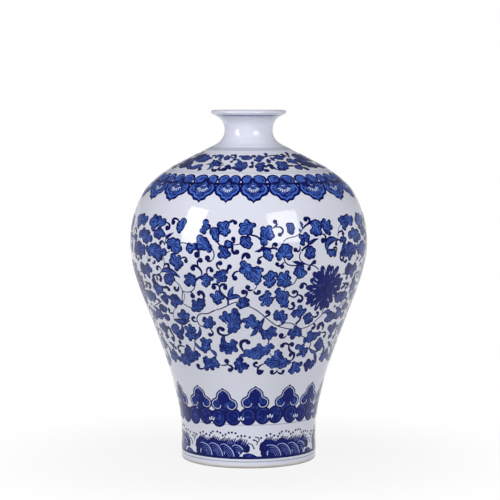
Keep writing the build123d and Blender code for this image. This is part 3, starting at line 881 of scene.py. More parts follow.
# Hooked tendrils: width, radius of the ball that ends them, then the points they pass
scroll_hooks = (
    (1, 1.4, -43.5, 174.6, -41.3, 173.4, -40.4, 171, -41.2, 168.8, -42, 169.8),
    (1, 1.4, -34.6, 175.6, -36.8, 177.8, -39, 177.4, -39.4, 175.6, -38.6, 174.8),
    (0.9, 1.1, -42.9, 156.4, -44, 158.4, -45.2, 158.8, -45.6, 157.2),
    (0.9, 1.2, -42.6, 158.2, -41.2, 157.6, -40.2, 155.6, -40.2, 154.2),
    (0.8, 1.2, -33.5, 144.8, -32, 146.5, -30.4, 146.5, -29.9, 144.8, -30.4, 143.8),
    (0.9, 1.5, -16.8, 145.6, -18.3, 144.2, -19.5, 145.2, -19.2, 146.8),
    (0.9, 1.7, -25, 154, -23.7, 152.6, -23.4, 150.4, -24.4, 149.3),
    (0.9, 1.4, -24, 139.6, -24.4, 142.4, -23.8, 144.8, -22.8, 144.9),
    (0.8, 1.0, -53, 140.3, -51.5, 139.6, -50.6, 141),
    (0.9, 1.0, -57.5, 166, -55.8, 166.5, -54.5, 164.6),
    (1.2, 1.1, -10.4, 175, -8.3, 176.8, -6.8, 177.4, -6.2, 175.8),
    (1, 1.2, -8.8, 158, -7.2, 159.4, -6.4, 161, -7, 162.6),
    (1.2, 1.3, -7, 158.5, -7.4, 155, -7, 151.8, -5.8, 150.9, -5.3, 152.2),
    (0.9, 1.1, 11, 155.4, 11.2, 158, 12.2, 159.3, 12.6, 157.8),
    (0.9, 1.3, 6.8, 148.8, 5.3, 147.8, 4.4, 145.8, 4.9, 144),
    (1.5, 1.3, -3, 145.8, -2.6, 148.6, -1.2, 150.6, 0, 149.6, -0.1, 148.6),
    (0.9, 1.1, 16.8, 144, 15.8, 142, 14.6, 140.6, 13.5, 141, 13.3, 142.2),
    (0.9, 1.2, 15.4, 141.4, 15.8, 139.9),
    (0.9, 1.3, -13.2, 137.2, -14.4, 139.2, -14.8, 141.8, -14, 143.6, -13.2, 143),
    (0.9, 1.2, 11.2, 170.8, 12.4, 172.4, 13.4, 174.6, 12.6, 176.6),
    (0.8, 1.1, 12.6, 172, 15, 172, 16.2, 169.5, 15.6, 166.8, 14.6, 165.8),
    (1.1, 1.4, 27, 172.2, 29.4, 174.4, 30.5, 177.2, 29.6, 179.4, 28.3, 178.2),
    (1, 1.5, 36.4, 165.3, 38, 164.6, 38.7, 161.8, 38, 159.4, 37, 159.9),
    (0.8, 1.2, 24.3, 156.6, 24.4, 154, 23.2, 151.9, 22, 153.4),
    (0.9, 0.9, 45.4, 150.5, 45.9, 152.2, 44.8, 153.8, 44, 153.2),
    (0.9, 1.1, 46.8, 159.4, 45.5, 158.7, 45.3, 156.5),
    (0.8, 1.2, 46.8, 162, 47, 164.5, 48.8, 166.4, 50.8, 166, 50.8, 164.3),
    (1.1, 1.0, 48, 146.5, 48.8, 144, 50, 142.4, 51, 143, 51, 144.2),
    (0.9, 1.1, 50.5, 142.3, 52.3, 140.9, 53.4, 140.6, 53.4, 141.6),
    (1.2, 1.2, 29.8, 140.2, 31, 141.4, 31.8, 142.8, 32.3, 142.8),
    (1.3, 1.1, -51, 130, -53, 129.4, -54.4, 127.4, -53.7, 125.4),
    (1.4, 1.2, -51, 130, -48.6, 129.8, -47.6, 127.4, -48.6, 125.5),
    (1.2, 0.5, -50.6, 129.8, -51, 127, -51, 125.2),
    (0.9, 1.1, -46.3, 134.9, -47.2, 136.8, -48.8, 137.6, -49.8, 136.6, -49.3, 135.5),
    (1, 1.1, -44.5, 136.6, -43.7, 139.2, -42, 140.4, -40.5, 139.4, -41, 137.8),
    (1.3, 1.0, -36.6, 121.6, -37.2, 118.8, -38.8, 117.1, -39.8, 118.4, -39.4, 119.6),
    (0.9, 1.6, -30.4, 116.7, -29.2, 115.4, -29.3, 112.9),
    (1.1, 1.5, -22.9, 131.6, -22.5, 135, -23.8, 138.6, -25.6, 140.3, -27.2, 139.4, -27, 138),
    (1.8, 1.1, -23.2, 110.6, -22.9, 114, -24, 116.8, -25.5, 116.4, -25.6, 115),
    (1.3, 1.3, -49.4, 120.4, -47.4, 118.9, -45.6, 119.4, -44.2, 119.2, -44, 117.6),
    (0.9, 1.2, -19.8, 133.6, -19.9, 136.6, -18.8, 139, -17.4, 138.4, -17.5, 136.8),
    (1.2, 1.3, -9.8, 136.2, -9.6, 138.4, -8.8, 140.2),
    (0.9, 1.4, -3.6, 136.4, -5.6, 136.2, -7, 134, -7.4, 131.4, -6.4, 130.4),
    (1.1, 1.4, -14, 121.5, -14.6, 123.8, -16.4, 124.8, -17.7, 123.4, -17.1, 121.9),
    (1.3, 1.3, -14.2, 121, -13.4, 124, -12, 124.8, -10.9, 123.2, -11.4, 121.7),
    (1, 1.4, 2.5, 120, 0.4, 119.7, -0.4, 121, -0.4, 122.4),
    (1.2, 1.2, 2.4, 119.6, 2.8, 117.6, 4, 116.4, 5.3, 117, 5.1, 118.2),
    (1, 1.5, -1.6, 113.3, -0.8, 116.2, -1, 118.6, -2.2, 119, -2.4, 118),
    (1, 1.2, 30.4, 140.6, 29.8, 139, 29.6, 137.5),
    (1, 1.5, 30.3, 120.2, 29.3, 123.2, 27.6, 124.8, 26.2, 123.6, 26.8, 122),
    (0.9, 1.3, 20.4, 115.2, 22, 112.9, 23.8, 112.3, 25, 114.2, 24.7, 117.2, 23.4, 118.2, 23, 117.2),
    (1.2, 1.3, 25, 114.4, 27, 113.6, 28.4, 110.8, 28, 107.8, 26.8, 107.4, 26.7, 108.4),
    (1.3, 1.2, 20.6, 101.8, 22, 100.6, 24, 101.2, 24.3, 103.8, 23.3, 106),
    (1, 1.2, 54, 130.6, 56, 130, 57.2, 128.4, 57, 126.5),
    (1.1, 1.2, 54.2, 121.6, 56, 121.4, 56.6, 119.4, 55.2, 117.6),
    (1.1, 1.1, 59.4, 121.8, 61, 120.6, 60.6, 117.8, 59, 116.6),
    (1, 1.2, 59, 134.6, 57.8, 136.6, 56.5, 137.8, 55.5, 137, 56, 136),
    (1.3, 1.1, 62, 119, 59.5, 120, 57.6, 121.2, 56.5, 120.2, 56.8, 118.8),
    (1, 1.2, -44.9, 95, -46.3, 93.4, -48.2, 93.6, -49, 95.2, -48.4, 96.8),
    (1.2, 1.1, -29.8, 87, -31.2, 86.6, -32.6, 88, -32.5, 90.4, -31.4, 90.8),
    (1, 1.5, -22.6, 80.3, -21.6, 77.6, -21, 74.4, -22, 72, -23, 72.6),
    (1.7, 1.3, -51.6, 64.6, -51.8, 67.2, -53.2, 70, -53.4, 73.4, -53.8, 75.6, -54.8, 76.2),
    (1.7, 1.5, -57.4, 81.2, -58.4, 79, -59.2, 76.6),
    (1.5, 1.6, -10.4, 75.2, -12.4, 73.2, -15, 72.8, -17.2, 74.6, -17.7, 78, -16.6, 80.8, -15, 80.6,
     -14.9, 79.4),
    (1.2, 1.4, 8.4, 92.8, 9.8, 94, 11.2, 95.8, 10.9, 98, 10, 98.2),
    (1, 1.8, 22.9, 72.6, 21.8, 70, 20, 69.2, 18.8, 70.2, 19.4, 72.2),
    (1.2, 1.0, 36.4, 92.4, 38.2, 90.6, 40.2, 90.6, 41.3, 92.8, 40.8, 95, 40.2, 95),
    (1.3, 1.4, 38.8, 83.6, 40.6, 82.2, 41.5, 79.6, 40.6, 77.4, 40.2, 78),
    (2, 1.7, 48.8, 74, 49, 77.4, 48, 80.4, 46.2, 82.2, 44.6, 81.2, 44.1, 78.8, 44.6, 78),
    (1, 1.5, 47.8, 71.6, 50.8, 71.6, 53.2, 70.6, 53.8, 68.4, 53, 66.8),
    (1.2, 1.6, -43.6, 55.6, -47, 56.4, -50, 55.4, -51.5, 52.4, -50.6, 49.2),
    (1.2, 1.7, -47.4, 56.4, -48, 58.4, -47.3, 60.8),
    (1.3, 1.9, -30.6, 31.8, -32.6, 30.2, -35, 29.5, -36.9, 31, -36.3, 33.2),
    (1.9, 1.6, -3, 53.8, -4, 57, -4.7, 61, -4.2, 65.2, -2.4, 66.8, -0.6, 66.2, -0.2, 64.8),
    (0.9, 2.0, -19.4, 37, -18, 36, -16, 36.2, -14, 37.8, -13.7, 40.2, -14.3, 41.6),
    (1.6, 1.8, -14, 37.2, -12, 35.8, -10.9, 33.2, -11.4, 30.6, -12.6, 30.2),
    (1.5, 1.3, 6.6, 34.6, 4.8, 34.9, 3.6, 37, 3.9, 39.4, 5, 39.8),
    (1.2, 2.4, 10.4, 38.6, 8, 36.6, 6.6, 33.8, 6.2, 30, 7.5, 27.6),
    (1.6, 1.2, 7.4, 26.4, 9, 27, 9.4, 28.8),
    (1.2, 1.6, 19.6, 31.5, 19.6, 28, 18, 25.5, 16, 25.2, 15.3, 27, 16, 28),
    (1.4, 1.5, 19.8, 28, 21.4, 25.4, 23.2, 24.6, 24.5, 25.6, 24.3, 27.6),
    (1.4, 1.7, 25.4, 59.5, 24.6, 61.6, 22.6, 62.4, 21, 61.6, 21, 60),
    (1.4, 1.5, 25.5, 59, 26.2, 61.8, 27.6, 62.4, 28.3, 61, 27.8, 60.2),
    (1.4, 1.1, 25.4, 62, 25.6, 58, 26.4, 54.4, 28, 51.8, 29.8, 50),
    (1.7, 1.3, 28.4, 40.2, 30, 42.4, 30.7, 46, 30, 49.4, 28.2, 49.8, 27.1, 48.4, 27.8, 47.6),
    (1.4, 1.6, 54, 57, 56, 53.6, 57.4, 51, 57.5, 49.6),
    (1.2, 1.4, 66.5, 58, 64.6, 55.4, 66, 52.6),
    (1, 1.2, 60.4, 104.4, 62.6, 106.6, 64.8, 105),
    (1, 1.2, 70.4, 143.4, 72.2, 146, 74.6, 144.6),
)
# Blades, the broad strokes laid with the side of the brush: width, then the points they pass
scroll_blades = (
    (3.4, -47, 132.8, -44.5, 134.8, -41, 134.6, -38, 132.8, -34.6, 129.2),
    (4.4, -46.9, 86.4, -44.5, 85.8, -41, 84.9, -37.5, 85.9, -34.5, 87.2),
    (3.4, -41.3, 82.6, -41.4, 78, -42.8, 73.6, -45.6, 70.2, -48, 67.4),
    (2.8, -28.9, 81.6, -29, 76.6, -30.6, 71.6, -33.2, 67.4, -34.8, 63),
    (3, -13.9, 73, -14.9, 70, -15.6, 66.5, -16.6, 62),
    (3.2, 5.8, 83, 4.3, 79, 3.2, 75.4, 0.9, 71.8),
    (2.8, 8.6, 92.8, 7.6, 88.6, 6.6, 84.4, 7, 80.4, 8.8, 77),
    (2.8, -10.3, 110, -9.3, 115.5, -8.6, 118.6, -7.3, 123.4),
    (3, -10.2, 110, -8, 113.2, -5.5, 113.8, -3.4, 111.6),
    (1.6, 26, 170.4, 25.9, 174, 24.9, 176.6),
    (1.2, 24.8, 167.6, 24.3, 170.6),
    (4, 46, 160.2, 42.5, 160.2, 39.9, 158, 39.2, 154.5, 39.8, 150.4),
    (2.6, 44.6, 93, 47, 95, 49.6, 95, 52, 93),
    (2.8, 55, 98.2, 57.4, 96.6, 60, 95, 62.6, 93.6),
    (2.6, -34.6, 63.4, -34, 60, -32.4, 56.4, -30.2, 52.6),
    (2.8, -25, 55.2, -22.8, 52.8, -21.5, 49.4, -21.8, 44.6),
    (2.6, -60.4, 58.8, -58, 57, -56.6, 54, -57, 50),
    (3, -1, 48.2, -4, 49, -6.6, 46),
    (2.6, 41.4, 54.8, 44, 51, 46.5, 49, 49.5, 48.8, 52, 50.2),
    (3, 46.2, 49.4, 48.6, 45.4, 50.2, 41, 51.6, 37, 52.6, 32.4),
)


def leaf_patches(numbers, radius, load, swell):
    """A leaf as a wash with a dark outline, and veins that fan out from its longest lobe."""
    tips = chart_points(numbers, radius)
    edge = lobed_edge(tips)
    edge = edge - towards_middle(edge) * swell
    middle = edge.mean(axis=0)
    stalk = tips[np.argmax(np.linalg.norm(tips - middle, axis=1))]
    base = middle + (stalk - middle) * vein_base
    lines = [outline_patch(edge, width=1.35)]
    for way in tips - base:
        places = [base + way * share for share in vein_shares]
        lines.append(
            stroke_patch(places, width=vein_width, start=0.5, end=0.9, load=0.2, lift=0.1, under=0.05)
        )
    return wash_patch(edge, load=load, fade=-0.35), lines


def hook_patches(numbers, radius):
    """A tendril: a stroke that swells along its way, and a ball at its end."""
    width, ball, *places = numbers
    points = chart_points(places, radius)
    tendril = stroke_patch(points, width=width * hook_spread, start=0.45, end=1.1, belly=0.3)
    return [tendril, dot_patch(points[-1], radius=ball * ball_spread)]


def blade_patches(numbers, radius):
    """A broad blue stroke that starts and ends in a point, on a wider dark one."""
    width, *places = numbers
    points = chart_points(places, radius)
    dark = stroke_patch(points, width=width * blade_dark_spread, start=0.3, end=0.2, belly=0.85)
    blue = stroke_patch(
        points,
        width=width * blade_blue_spread,
        start=0.2,
        end=0.1,
        belly=1.0,
        load=0.7,
        lift=0.11,
        under=0.06,
    )
    return blue, dark


def scroll_patches(radius, swell, leaves, loads, dark_leaves, stems, hooks, blades):
    """All of a scroll's brushwork, as the patches of its washes and those of its dark lines."""
    washes = []
    lines = []
    for numbers, load in zip(leaves, loads):
        wash, leaf_lines = leaf_patches(numbers, radius, load, swell)
        washes.append(wash)
        lines.extend(leaf_lines)
    for numbers in dark_leaves:
        edge = leaf_edge(chart_points(numbers, radius), dark_leaf_nick)
        lines.append(wash_patch(edge, load=dark_leaf_load))
    for width, *numbers in stems:
        points = chart_points(numbers, radius)
        lines.append(stroke_patch(points, width=width * stem_spread, start=0.9, end=1.0, load=0.45))
    for numbers in hooks:
        lines.extend(hook_patches(numbers, radius))
    for numbers in blades:
        blue, dark = blade_patches(numbers, radius)
        washes.append(blue)
        lines.append(dark)
    return washes, lines


cobalt_wash = cobalt_finish(
    "cobalt_wash", thin=(0.09, 0.21, 0.7), thick=(0.003, 0.008, 0.15), streak_scale=230, streak_depth=1.9
)
cobalt_line = cobalt_finish(
    "cobalt_line",
    thin=(0.004, 0.009, 0.145),
    thick=(0.001, 0.002, 0.055),
    streak_scale=120,
    streak_depth=0.8,
)
leaf_turns = np.array([numbers[0] for numbers in scroll_leaves])
leaf_levels = np.array([numbers[1] for numbers in scroll_leaves])
leaf_loads_with_side_shade = leaf_load - leaf_load_fall * leaf_levels
leaf_loads_with_side_shade = leaf_loads_with_side_shade + leaf_load_sway * np.sin(leaf_sway_beat * leaf_turns)
# Painted shade: leaves get more load towards the sides of the band, so that they render darker there
leaf_loads_with_side_shade = leaf_loads_with_side_shade + leaf_side_painted_shade * (leaf_turns / leaf_side_shade_turn) ** 2
scroll_washes, scroll_lines = scroll_patches(
    scroll_radius,
    swell=scroll_swell,
    leaves=scroll_leaves,
    loads=leaf_loads_with_side_shade,
    dark_leaves=scroll_dark_leaves,
    stems=scroll_stems,
    hooks=scroll_hooks,
    blades=scroll_blades,
)
scroll_lines.append(dot_patch(chart_points((53.6, 99.4), scroll_radius)[0], radius=1.7))
painted_piece("scroll_wash", scroll_washes, scroll_radius, scroll_level, cobalt_wash, scroll_repeats)
painted_piece("scroll_lines", scroll_lines, scroll_radius, scroll_level, cobalt_line, scroll_repeats)


# Lotus: the flower of the scroll, three layers of blunt petals laid one over the other with a
# full brush, so that it fires nearly black, with slivers of bare white left between some petals.
lotus_place = (41.5, 118.3)
# A petal's edge as shares of its length and of half its width
petal_shares = ((1, 0), (0.95, -0.6), (0.7, -1), (0.2, -0.7), (0, 0), (0.2, 0.7), (0.7, 1), (0.95, 0.6))
# Layers from the outside in: petals, inner and outer radius, half width, load and lift
petal_layers = (
    (22, 4, 21.6, 2.75, 1.25, 0.07),
    (16, 2, 15.8, 2.5, 1.15, 0.15),
    (9, 0.5, 9.5, 2.3, 1.2, 0.23),
)
# Slivers: turn in degrees, inner and outer radius
white_slivers = (
    (-64, 11, 17), (-52, 12.5, 17.5), (-86, 10, 14.5), (-16, 13, 18.5), (6, 12, 16), (16, 13.5, 17.5),
    (40, 13, 17), (84, 10.5, 15), (118, 12, 17.5), (146, 11, 15.5), (196, 12, 18), (226, 11, 15.5),
    (250, 11, 14), (-100, 13, 17),
)
lotus_white = cobalt_finish(
    "lotus_white", thin=(0.5, 0.56, 0.8), thick=(0.3, 0.38, 0.7), streak_scale=200, streak_depth=0.6
)


def petal_edge(middle, turn, inner, outer, wide):
    """A blunt petal: it widens from an inner radius, and closes to a round end at an outer one."""
    way = np.array([np.sin(turn), np.cos(turn)])
    side = np.array([np.cos(turn), -np.sin(turn)])
    shares = np.array(petal_shares)
    up = way * (inner + (outer - inner) * shares[:, :1])
    return leaf_edge(middle + up + side * wide * shares[:, 1:])


flower = chart_points(lotus_place, scroll_radius)[0]
petals = []
petal_lines = []
for count, inner, outer, wide, load, lift in petal_layers:
    for i in range(count):
        turn = (i + 0.3 * np.sin(5 * i)) * 2 * np.pi / count
        reach = outer * (1 + 0.06 * np.sin(3.7 * i))
        edge = petal_edge(flower, turn, inner, reach, wide)
        petals.append(
            wash_patch(edge, load=load + 0.12 * np.sin(2.3 * i), fade=-0.3, lift=lift, under=lift - 0.1)
        )
        petal_lines.append(outline_patch(edge, width=0.55, inset=0, load=0.7, lift=lift + 0.05))
petal_lines.append(dot_patch(flower, radius=2.2, load=0.8, lift=0.34))
slivers = []
for turn, inner, outer in white_slivers:
    way = np.array([np.sin(np.radians(turn)), np.cos(np.radians(turn))])
    points = [flower + way * reach for reach in (inner, (inner + outer) / 2, outer)]
    slivers.append(
        stroke_patch(points, width=1.1, start=0.3, end=0.5, belly=0.6, load=0.1, lift=0.24, under=0.05)
    )
painted_piece("lotus_petals", petals, scroll_radius, scroll_level, cobalt_wash, scroll_repeats)
painted_piece("lotus_lines", petal_lines, scroll_radius, scroll_level, cobalt_line, scroll_repeats)
painted_piece("lotus_slivers", slivers, scroll_radius, scroll_level, lotus_white, scroll_repeats)


# Collar scroll: a smaller band of the same leaves and tendrils on the slope under the neck,
# brushed closer together, with two faint lines below it that the wheel drew.
collar_swell = 0.6
collar_load = 0.72
collar_repeats = 3
collar_leaves = (
    (-50, 73.2, -54.5, 70, -57, 63.5, -55, 58, -51, 56.3, -46.5, 55.2, -42, 56, -40.5, 60, -38, 65,
     -41, 66.8, -45, 69.6),
    (-32.5, 75.2, -36, 73.5, -36, 68.5, -34.6, 65.6, -32.5, 68.2, -29.8, 69.5, -29.6, 73),
    (-23, 72.6, -25, 68, -24.2, 64.5, -21.5, 61.2, -19, 62.5, -18.5, 66, -20.6, 70.6),
    (-40.5, 51, -44, 50.5, -47.5, 46.6, -51, 43, -46.5, 41.8, -42, 42.4, -38.6, 46.8),
    (0, 73, -5, 72.6, -9.5, 71.4, -6, 68, -6.6, 64, -3.5, 62, 0.5, 62.5, 3.5, 65.5, 3.5, 69),
    (-8, 59, -10.8, 54, -9.6, 49.5, -12, 44.6, -8.6, 41.6, -6, 39.6, -3.4, 43, -1.4, 47, -1, 52,
     -2, 56.8, -5, 55),
    (11.5, 74, 9, 70, 7.6, 66, 5.5, 60, 8.6, 57, 10.6, 60, 11.6, 64, 14.5, 65, 16, 69, 14.5, 72),
    (9, 55, 6, 51.5, 5.6, 46, 7.6, 39.6, 9.6, 43.5, 10.6, 48, 12.5, 51.5, 13, 56),
    (22.4, 67.5, 21.2, 64.4, 22.5, 61.5, 23.8, 59.8, 24.8, 63, 24, 66.4),
    (33.5, 74.6, 29.5, 72.5, 28, 68.6, 25.4, 65.6, 28.6, 62.6, 33, 61.6, 35.6, 64.6, 38.6, 68.4,
     36, 71.4),
    (27, 58.6, 24, 55.5, 23.6, 50, 22.6, 44.5, 22.2, 41, 25.6, 40.6, 29.4, 42.5, 31.5, 46.5, 33.6, 51,
     34, 56.6, 30.6, 57.6),
    (43.5, 64, 39.6, 63.6, 37, 60, 38.6, 55.5, 40.6, 53, 44.5, 51.6, 46.6, 56, 47, 60),
    (45.6, 50.5, 42, 49, 38.4, 47.6, 37.6, 43, 40.6, 41.6, 44, 43.6, 44.6, 47.4),
    (58, 72.5, 54.5, 70, 52.6, 64, 54, 58, 58, 52, 62, 56, 62.6, 64, 61, 70),
)
collar_dark_leaves = (
    (66, 76, 58, 75.6, 52, 71, 53.6, 63, 59.6, 59, 66.4, 60.6, 69, 68),
    (52.4, 58.4, 50.4, 52, 53, 45, 60, 42, 66, 45, 66.4, 53, 60, 57),
    (-30, 61, -34, 57, -33, 51, -29, 48, -24, 50, -22, 55, -26, 58),
    (-11.6, 66, -15, 63.6, -14.6, 59.6, -11.4, 61),
    (-16.4, 52, -19, 48, -16.6, 44, -13, 42.4, -13, 47),
    (50, 64, 47, 60, 48, 54, 51, 50, 53, 55, 53, 60),
    (3.6, 59, 1.4, 56, 2.6, 52, 5, 54.6),
    (18.6, 64.6, 16, 61, 17.4, 57, 20.4, 59.6),
    (19, 50, 16, 47, 17, 42.4, 20.6, 44.6),
    (-38.6, 74.6, -42, 72.4, -40.6, 68.8, -37, 70),
    (-16.6, 76, -20, 74.6, -18.6, 71, -15, 72),
    (41.6, 77, 37, 75.6, 38.4, 71.4, 43, 72.6),
    (-55, 52, -57, 48, -54, 43.6, -51, 47),
)
collar_blades = (
    (3.2, -29.6, 75.4, -28, 69, -28.4, 64.5, -25.2, 58),
    (3.6, -35, 62, -31, 57, -28, 52.5, -23.6, 49.5, -20, 51.8),
    (3.6, -37, 51.2, -32, 52.5, -29.6, 47, -31, 41),
    (3.2, -31.8, 61.4, -28.6, 56, -25.6, 50.6),
    (3, -56.4, 51.4, -53, 47, -49, 41.6),
    (2.4, -15.4, 60.6, -15.2, 57.6, -14.6, 54.6),
    (2.4, -10.8, 65.2, -8.6, 60, -6, 56),
    (2.6, 36, 54.4, 38.6, 58.4, 40, 61),
)
collar_hooks = (
    (1.5, 2, -22, 48, -22.4, 43.4, -20, 41.2, -18, 42.8),
    (1.3, 1.6, -27.4, 45, -27, 41.6, -24.8, 40.8),
    (1.4, 1.4, -40, 47, -39, 43.6, -37.6, 41.6),
    (1.7, 1.6, -19.5, 70.5, -17, 68, -14.5, 66.4, -13.3, 70.6, -14.8, 74.4),
    (1.5, 1.4, -12.6, 42, -14.6, 45.6, -16.2, 49.6),
    (1.4, 2, 7.6, 66.4, 5.4, 69, 5.6, 71.8),
    (1.4, 1.6, 3.8, 53, 3.2, 49.6, 2, 47.4),
    (1.4, 1.7, 10.6, 45, 11, 42, 12.8, 41),
    (1.2, 1.7, 10.8, 49, 13, 48.6),
    (1.7, 2, 14.6, 71, 17.6, 69.6, 19.2, 73, 19.8, 77),
    (1.3, 1.4, 17.6, 69.8, 23, 71.6, 26, 72.4, 29, 72.6),
    (1.5, 1.2, 31.6, 46.4, 34, 48.4, 36.6, 48.6),
    (1.5, 2, 22.2, 42, 20.4, 43, 19, 46.5, 17.4, 50.2),
    (1.3, 1.7, 21.6, 61, 19.6, 60, 17.8, 57),
    (1.6, 2.2, 36.2, 69.6, 39, 70.4, 41, 71.5),
    (2.2, 2.2, 44.8, 66, 46.4, 70.4, 48.4, 75, 50.4, 78.6),
    (1.3, 2, 43.4, 47, 46, 45.6, 47.2, 42.6),
    (1.3, 1.6, 44.8, 48.6, 47.6, 49.8, 49.6, 49.6),
    (1.3, 1.8, 58, 52.4, 55.6, 49.6, 53.2, 46.8),
)
collar_washes, collar_lines = scroll_patches(
    shoulder_radius,
    swell=collar_swell,
    leaves=collar_leaves,
    loads=np.full(len(collar_leaves), collar_load),
    dark_leaves=collar_dark_leaves,
    stems=(),
    hooks=collar_hooks,
    blades=collar_blades,
)
painted_piece("collar_wash", collar_washes, shoulder_radius, shoulder_level, cobalt_wash, collar_repeats)
painted_piece("collar_lines", collar_lines, shoulder_radius, shoulder_level, cobalt_line, collar_repeats)
faint_bands = [
    wheel_band(36, 36.7, shoulder_radius, load=0.3),
    wheel_band(38, 38.7, shoulder_radius, load=0.3),
]
painted_piece("collar_rings", faint_bands, shoulder_radius, shoulder_level, grey_wash)


# Shoulder border: a row of hanging cloud-headed lappets that touch. Each has a heavy outline, two
# curled lobes above, and a fan of white slips below; spaced by eye, so some are narrower.
lappet_turns = np.concatenate([[-61.5, -45, -26, -11.5, 2.5, 20, 39, 56.5], 75 + 17.19 * np.arange(13)])
lappet_side = np.array(
    [(0, 8.8), (1.2, 10.3), (4.1, 11), (5.7, 13.4), (8.8, 14.8), (10.9, 18.4), (10.7, 21.8), (9.3, 24.4),
     (10.6, 28.5), (9.6, 32.6), (5.6, 34.8), (1.6, 33.8), (0, 31.4)]
)
lappet_pitch = 17.4
# White slips fan out at these turns from a middle at this height, and pass these reaches from it
slip_turns = (-66, -44, -22, 0, 22, 44, 66)
slip_middle = 21.6
slip_reaches = (2.3, 3.6, 4.9)
# Millimetres off the glaze of strokes that lie on a wash, and of their sides, which run into it
on_wash = {"lift": 0.12, "under": 0.05}
blue_light = cobalt_finish(
    "blue_light", thin=(0.13, 0.28, 0.95), thick=(0.02, 0.07, 0.52), streak_scale=150, streak_depth=0.9
)
slip_white = cobalt_finish(
    "slip_white", thin=(0.8, 0.85, 0.95), thick=(0.5, 0.6, 0.85), streak_scale=150, streak_depth=0.5
)


def both_sides(half):
    """A closed edge from its right half, which runs from the lowest to the highest place."""
    left = half[-2:0:-1] * [-1, 1]
    return np.concatenate([half, left])


def curl_points(middle, reach, start, turns):
    """A spiral round a middle, from a reach in to a quarter of it, starting at an angle; turns may
    be negative."""
    share = np.linspace(0, 1, 9)
    radius = reach * (1 - 0.75 * share)
    return np.asarray(middle) + radius[:, None] * round_ways(start + turns * 2 * np.pi * share)


def lappet_places(points, turn, before, after):
    """Places of the lappet at a turn, each half as wide as its own share of the row."""
    points = np.asarray(points, float)
    wide = np.where(points[:, 0] < 0, before, after) / lappet_pitch
    return np.stack([points[:, 0] * wide + np.radians(turn) * shoulder_radius, points[:, 1]], axis=1)


def lappet_stroke(points, room, **brush):
    """A brush stroke on the wash of one lappet, whose room is its turn and the pitches beside it."""
    return stroke_patch(lappet_places(points, *room), **brush, **on_wash)


lappet_wash = []
lappet_lines = []
lappet_lights = []
lappet_whites = []
pitches = np.diff(np.append(lappet_turns, lappet_turns[0] + 360))
for turn, before, after in zip(lappet_turns, np.roll(pitches, 1), pitches):
    room = (turn, before, after)
    edge = leaf_edge(lappet_places(both_sides(lappet_side), *room))
    lappet_wash.append(wash_patch(edge, load=0.68, fade=0.1))
    lappet_lines.append(outline_patch(edge, width=1.5))
    lappet_lines.append(outline_patch(edge, width=0.5, inset=3.4, load=0.4))
    lappet_lights.append(outline_patch(edge, width=0.55, inset=2.1, load=0.35))
    for side in (-1, 1):
        lobe = [(9.2 * side, 24.6), (5.6 * side, 24.6), (2 * side, 26), (0.5 * side, 31)]
        lappet_lines.append(lappet_stroke(lobe, room, width=2.2, start=0.8, end=0.8, belly=0.2))
        swirl = curl_points((5.6 * side, 29.6), reach=3, start=np.pi * 0.3, turns=1.2 * side)
        lappet_lights.append(lappet_stroke(swirl, room, width=0.7, start=0.5, end=0.7, belly=0.3, load=0.4))
        hook = curl_points(
            (7.4 * side, 19.6), reach=2.2, start=np.pi / 2 - side * np.pi / 2, turns=0.8 * side
        )
        lappet_lights.append(lappet_stroke(hook, room, width=0.6, start=0.6, end=0.5, belly=0.3, load=0.4))
        neck = [(4.2 * side, 20), (3.8 * side, 22.6), (1.8 * side, 24)]
        lappet_lines.append(lappet_stroke(neck, room, width=1.1, start=0.4, end=0.6, belly=0.3))
    for way in np.radians(slip_turns):
        ray = [(reach * np.sin(way), slip_middle - reach * np.cos(way)) for reach in slip_reaches]
        lappet_whites.append(lappet_stroke(ray, room, width=0.8, start=0.6, end=0.7, belly=0.3, load=0.3))
    brow = [(-1.4, 22.4), (0, 22.9), (1.4, 22.4)]
    lappet_whites.append(lappet_stroke(brow, room, width=0.7, start=0.5, end=0.5, belly=0.3, load=0.6))
    joint = np.array([np.radians(turn) * shoulder_radius + np.radians(after / 2) * shoulder_radius, 24.4])
    lappet_lines.append(dot_patch(joint, radius=1.7))
painted_piece("lappet_wash", lappet_wash, shoulder_radius, shoulder_level, cobalt_wash)
painted_piece("lappet_lines", lappet_lines, shoulder_radius, shoulder_level, cobalt_line)
painted_piece("lappet_lights", lappet_lights, shoulder_radius, shoulder_level, blue_light)
painted_piece("lappet_slips", lappet_whites, shoulder_radius, shoulder_level, slip_white)


# Cloud heads and coins: a row of upright three-lobed cloud heads over a chain of dark coins. The
# heads are washed dark with a white line left inside their edge, which curls in at the bottom.
border_radius = 70.0
border_level = 3.0
head_turns = np.concatenate([[-67.5, -41, -19.4, 5.1, 31.6, 55], 78 + 23.72 * np.arange(9)])
head_tops = np.concatenate([[78, 78.5, 77.5, 80, 80, 79.5], np.full(9, 79)])
head_side = np.array(
    [(0, -22), (4.4, -22), (9.2, -21), (12.4, -18.6), (13.2, -14.2), (11.1, -10.6), (7.6, -8.6),
     (6.7, -5.2), (4, -2), (1.2, -0.4), (0, 1)]
)
head_line = np.array(
    [(3.4, -15.6), (3.9, -18), (6.1, -19.8), (9.1, -19.6), (11.3, -17.6), (11.8, -14.3), (10.1, -11.8),
     (6.5, -9.6), (5.5, -5.8), (3.2, -3), (0, -1.1)]
)
head_stem = np.array([(3.4, -17), (-3.4, -17), (-4.6, -23), (-6.6, -29), (6.6, -29), (4.6, -23)])
head_swell = 0.3
# The ring inside a head is its edge made this much narrower and lower, and set down
ring_shrink = (0.52, 0.62)
ring_drop = (0, 4.2)
coin_turns = np.concatenate(
    [[-62, -50, -37, -25, -12.5, -0.5, 11.5, 22, 36, 47.5, 60], 71.9 + 11.9 * np.arange(19)]
)
coin_levels = np.concatenate(
    [[48, 48, 49.5, 48, 50, 50.5, 51.5, 52, 51, 51, 50], 50 + 1.2 * np.sin(np.arange(19))]
)
coin_radii = (8.3, 9.4)
coin_tips = 14
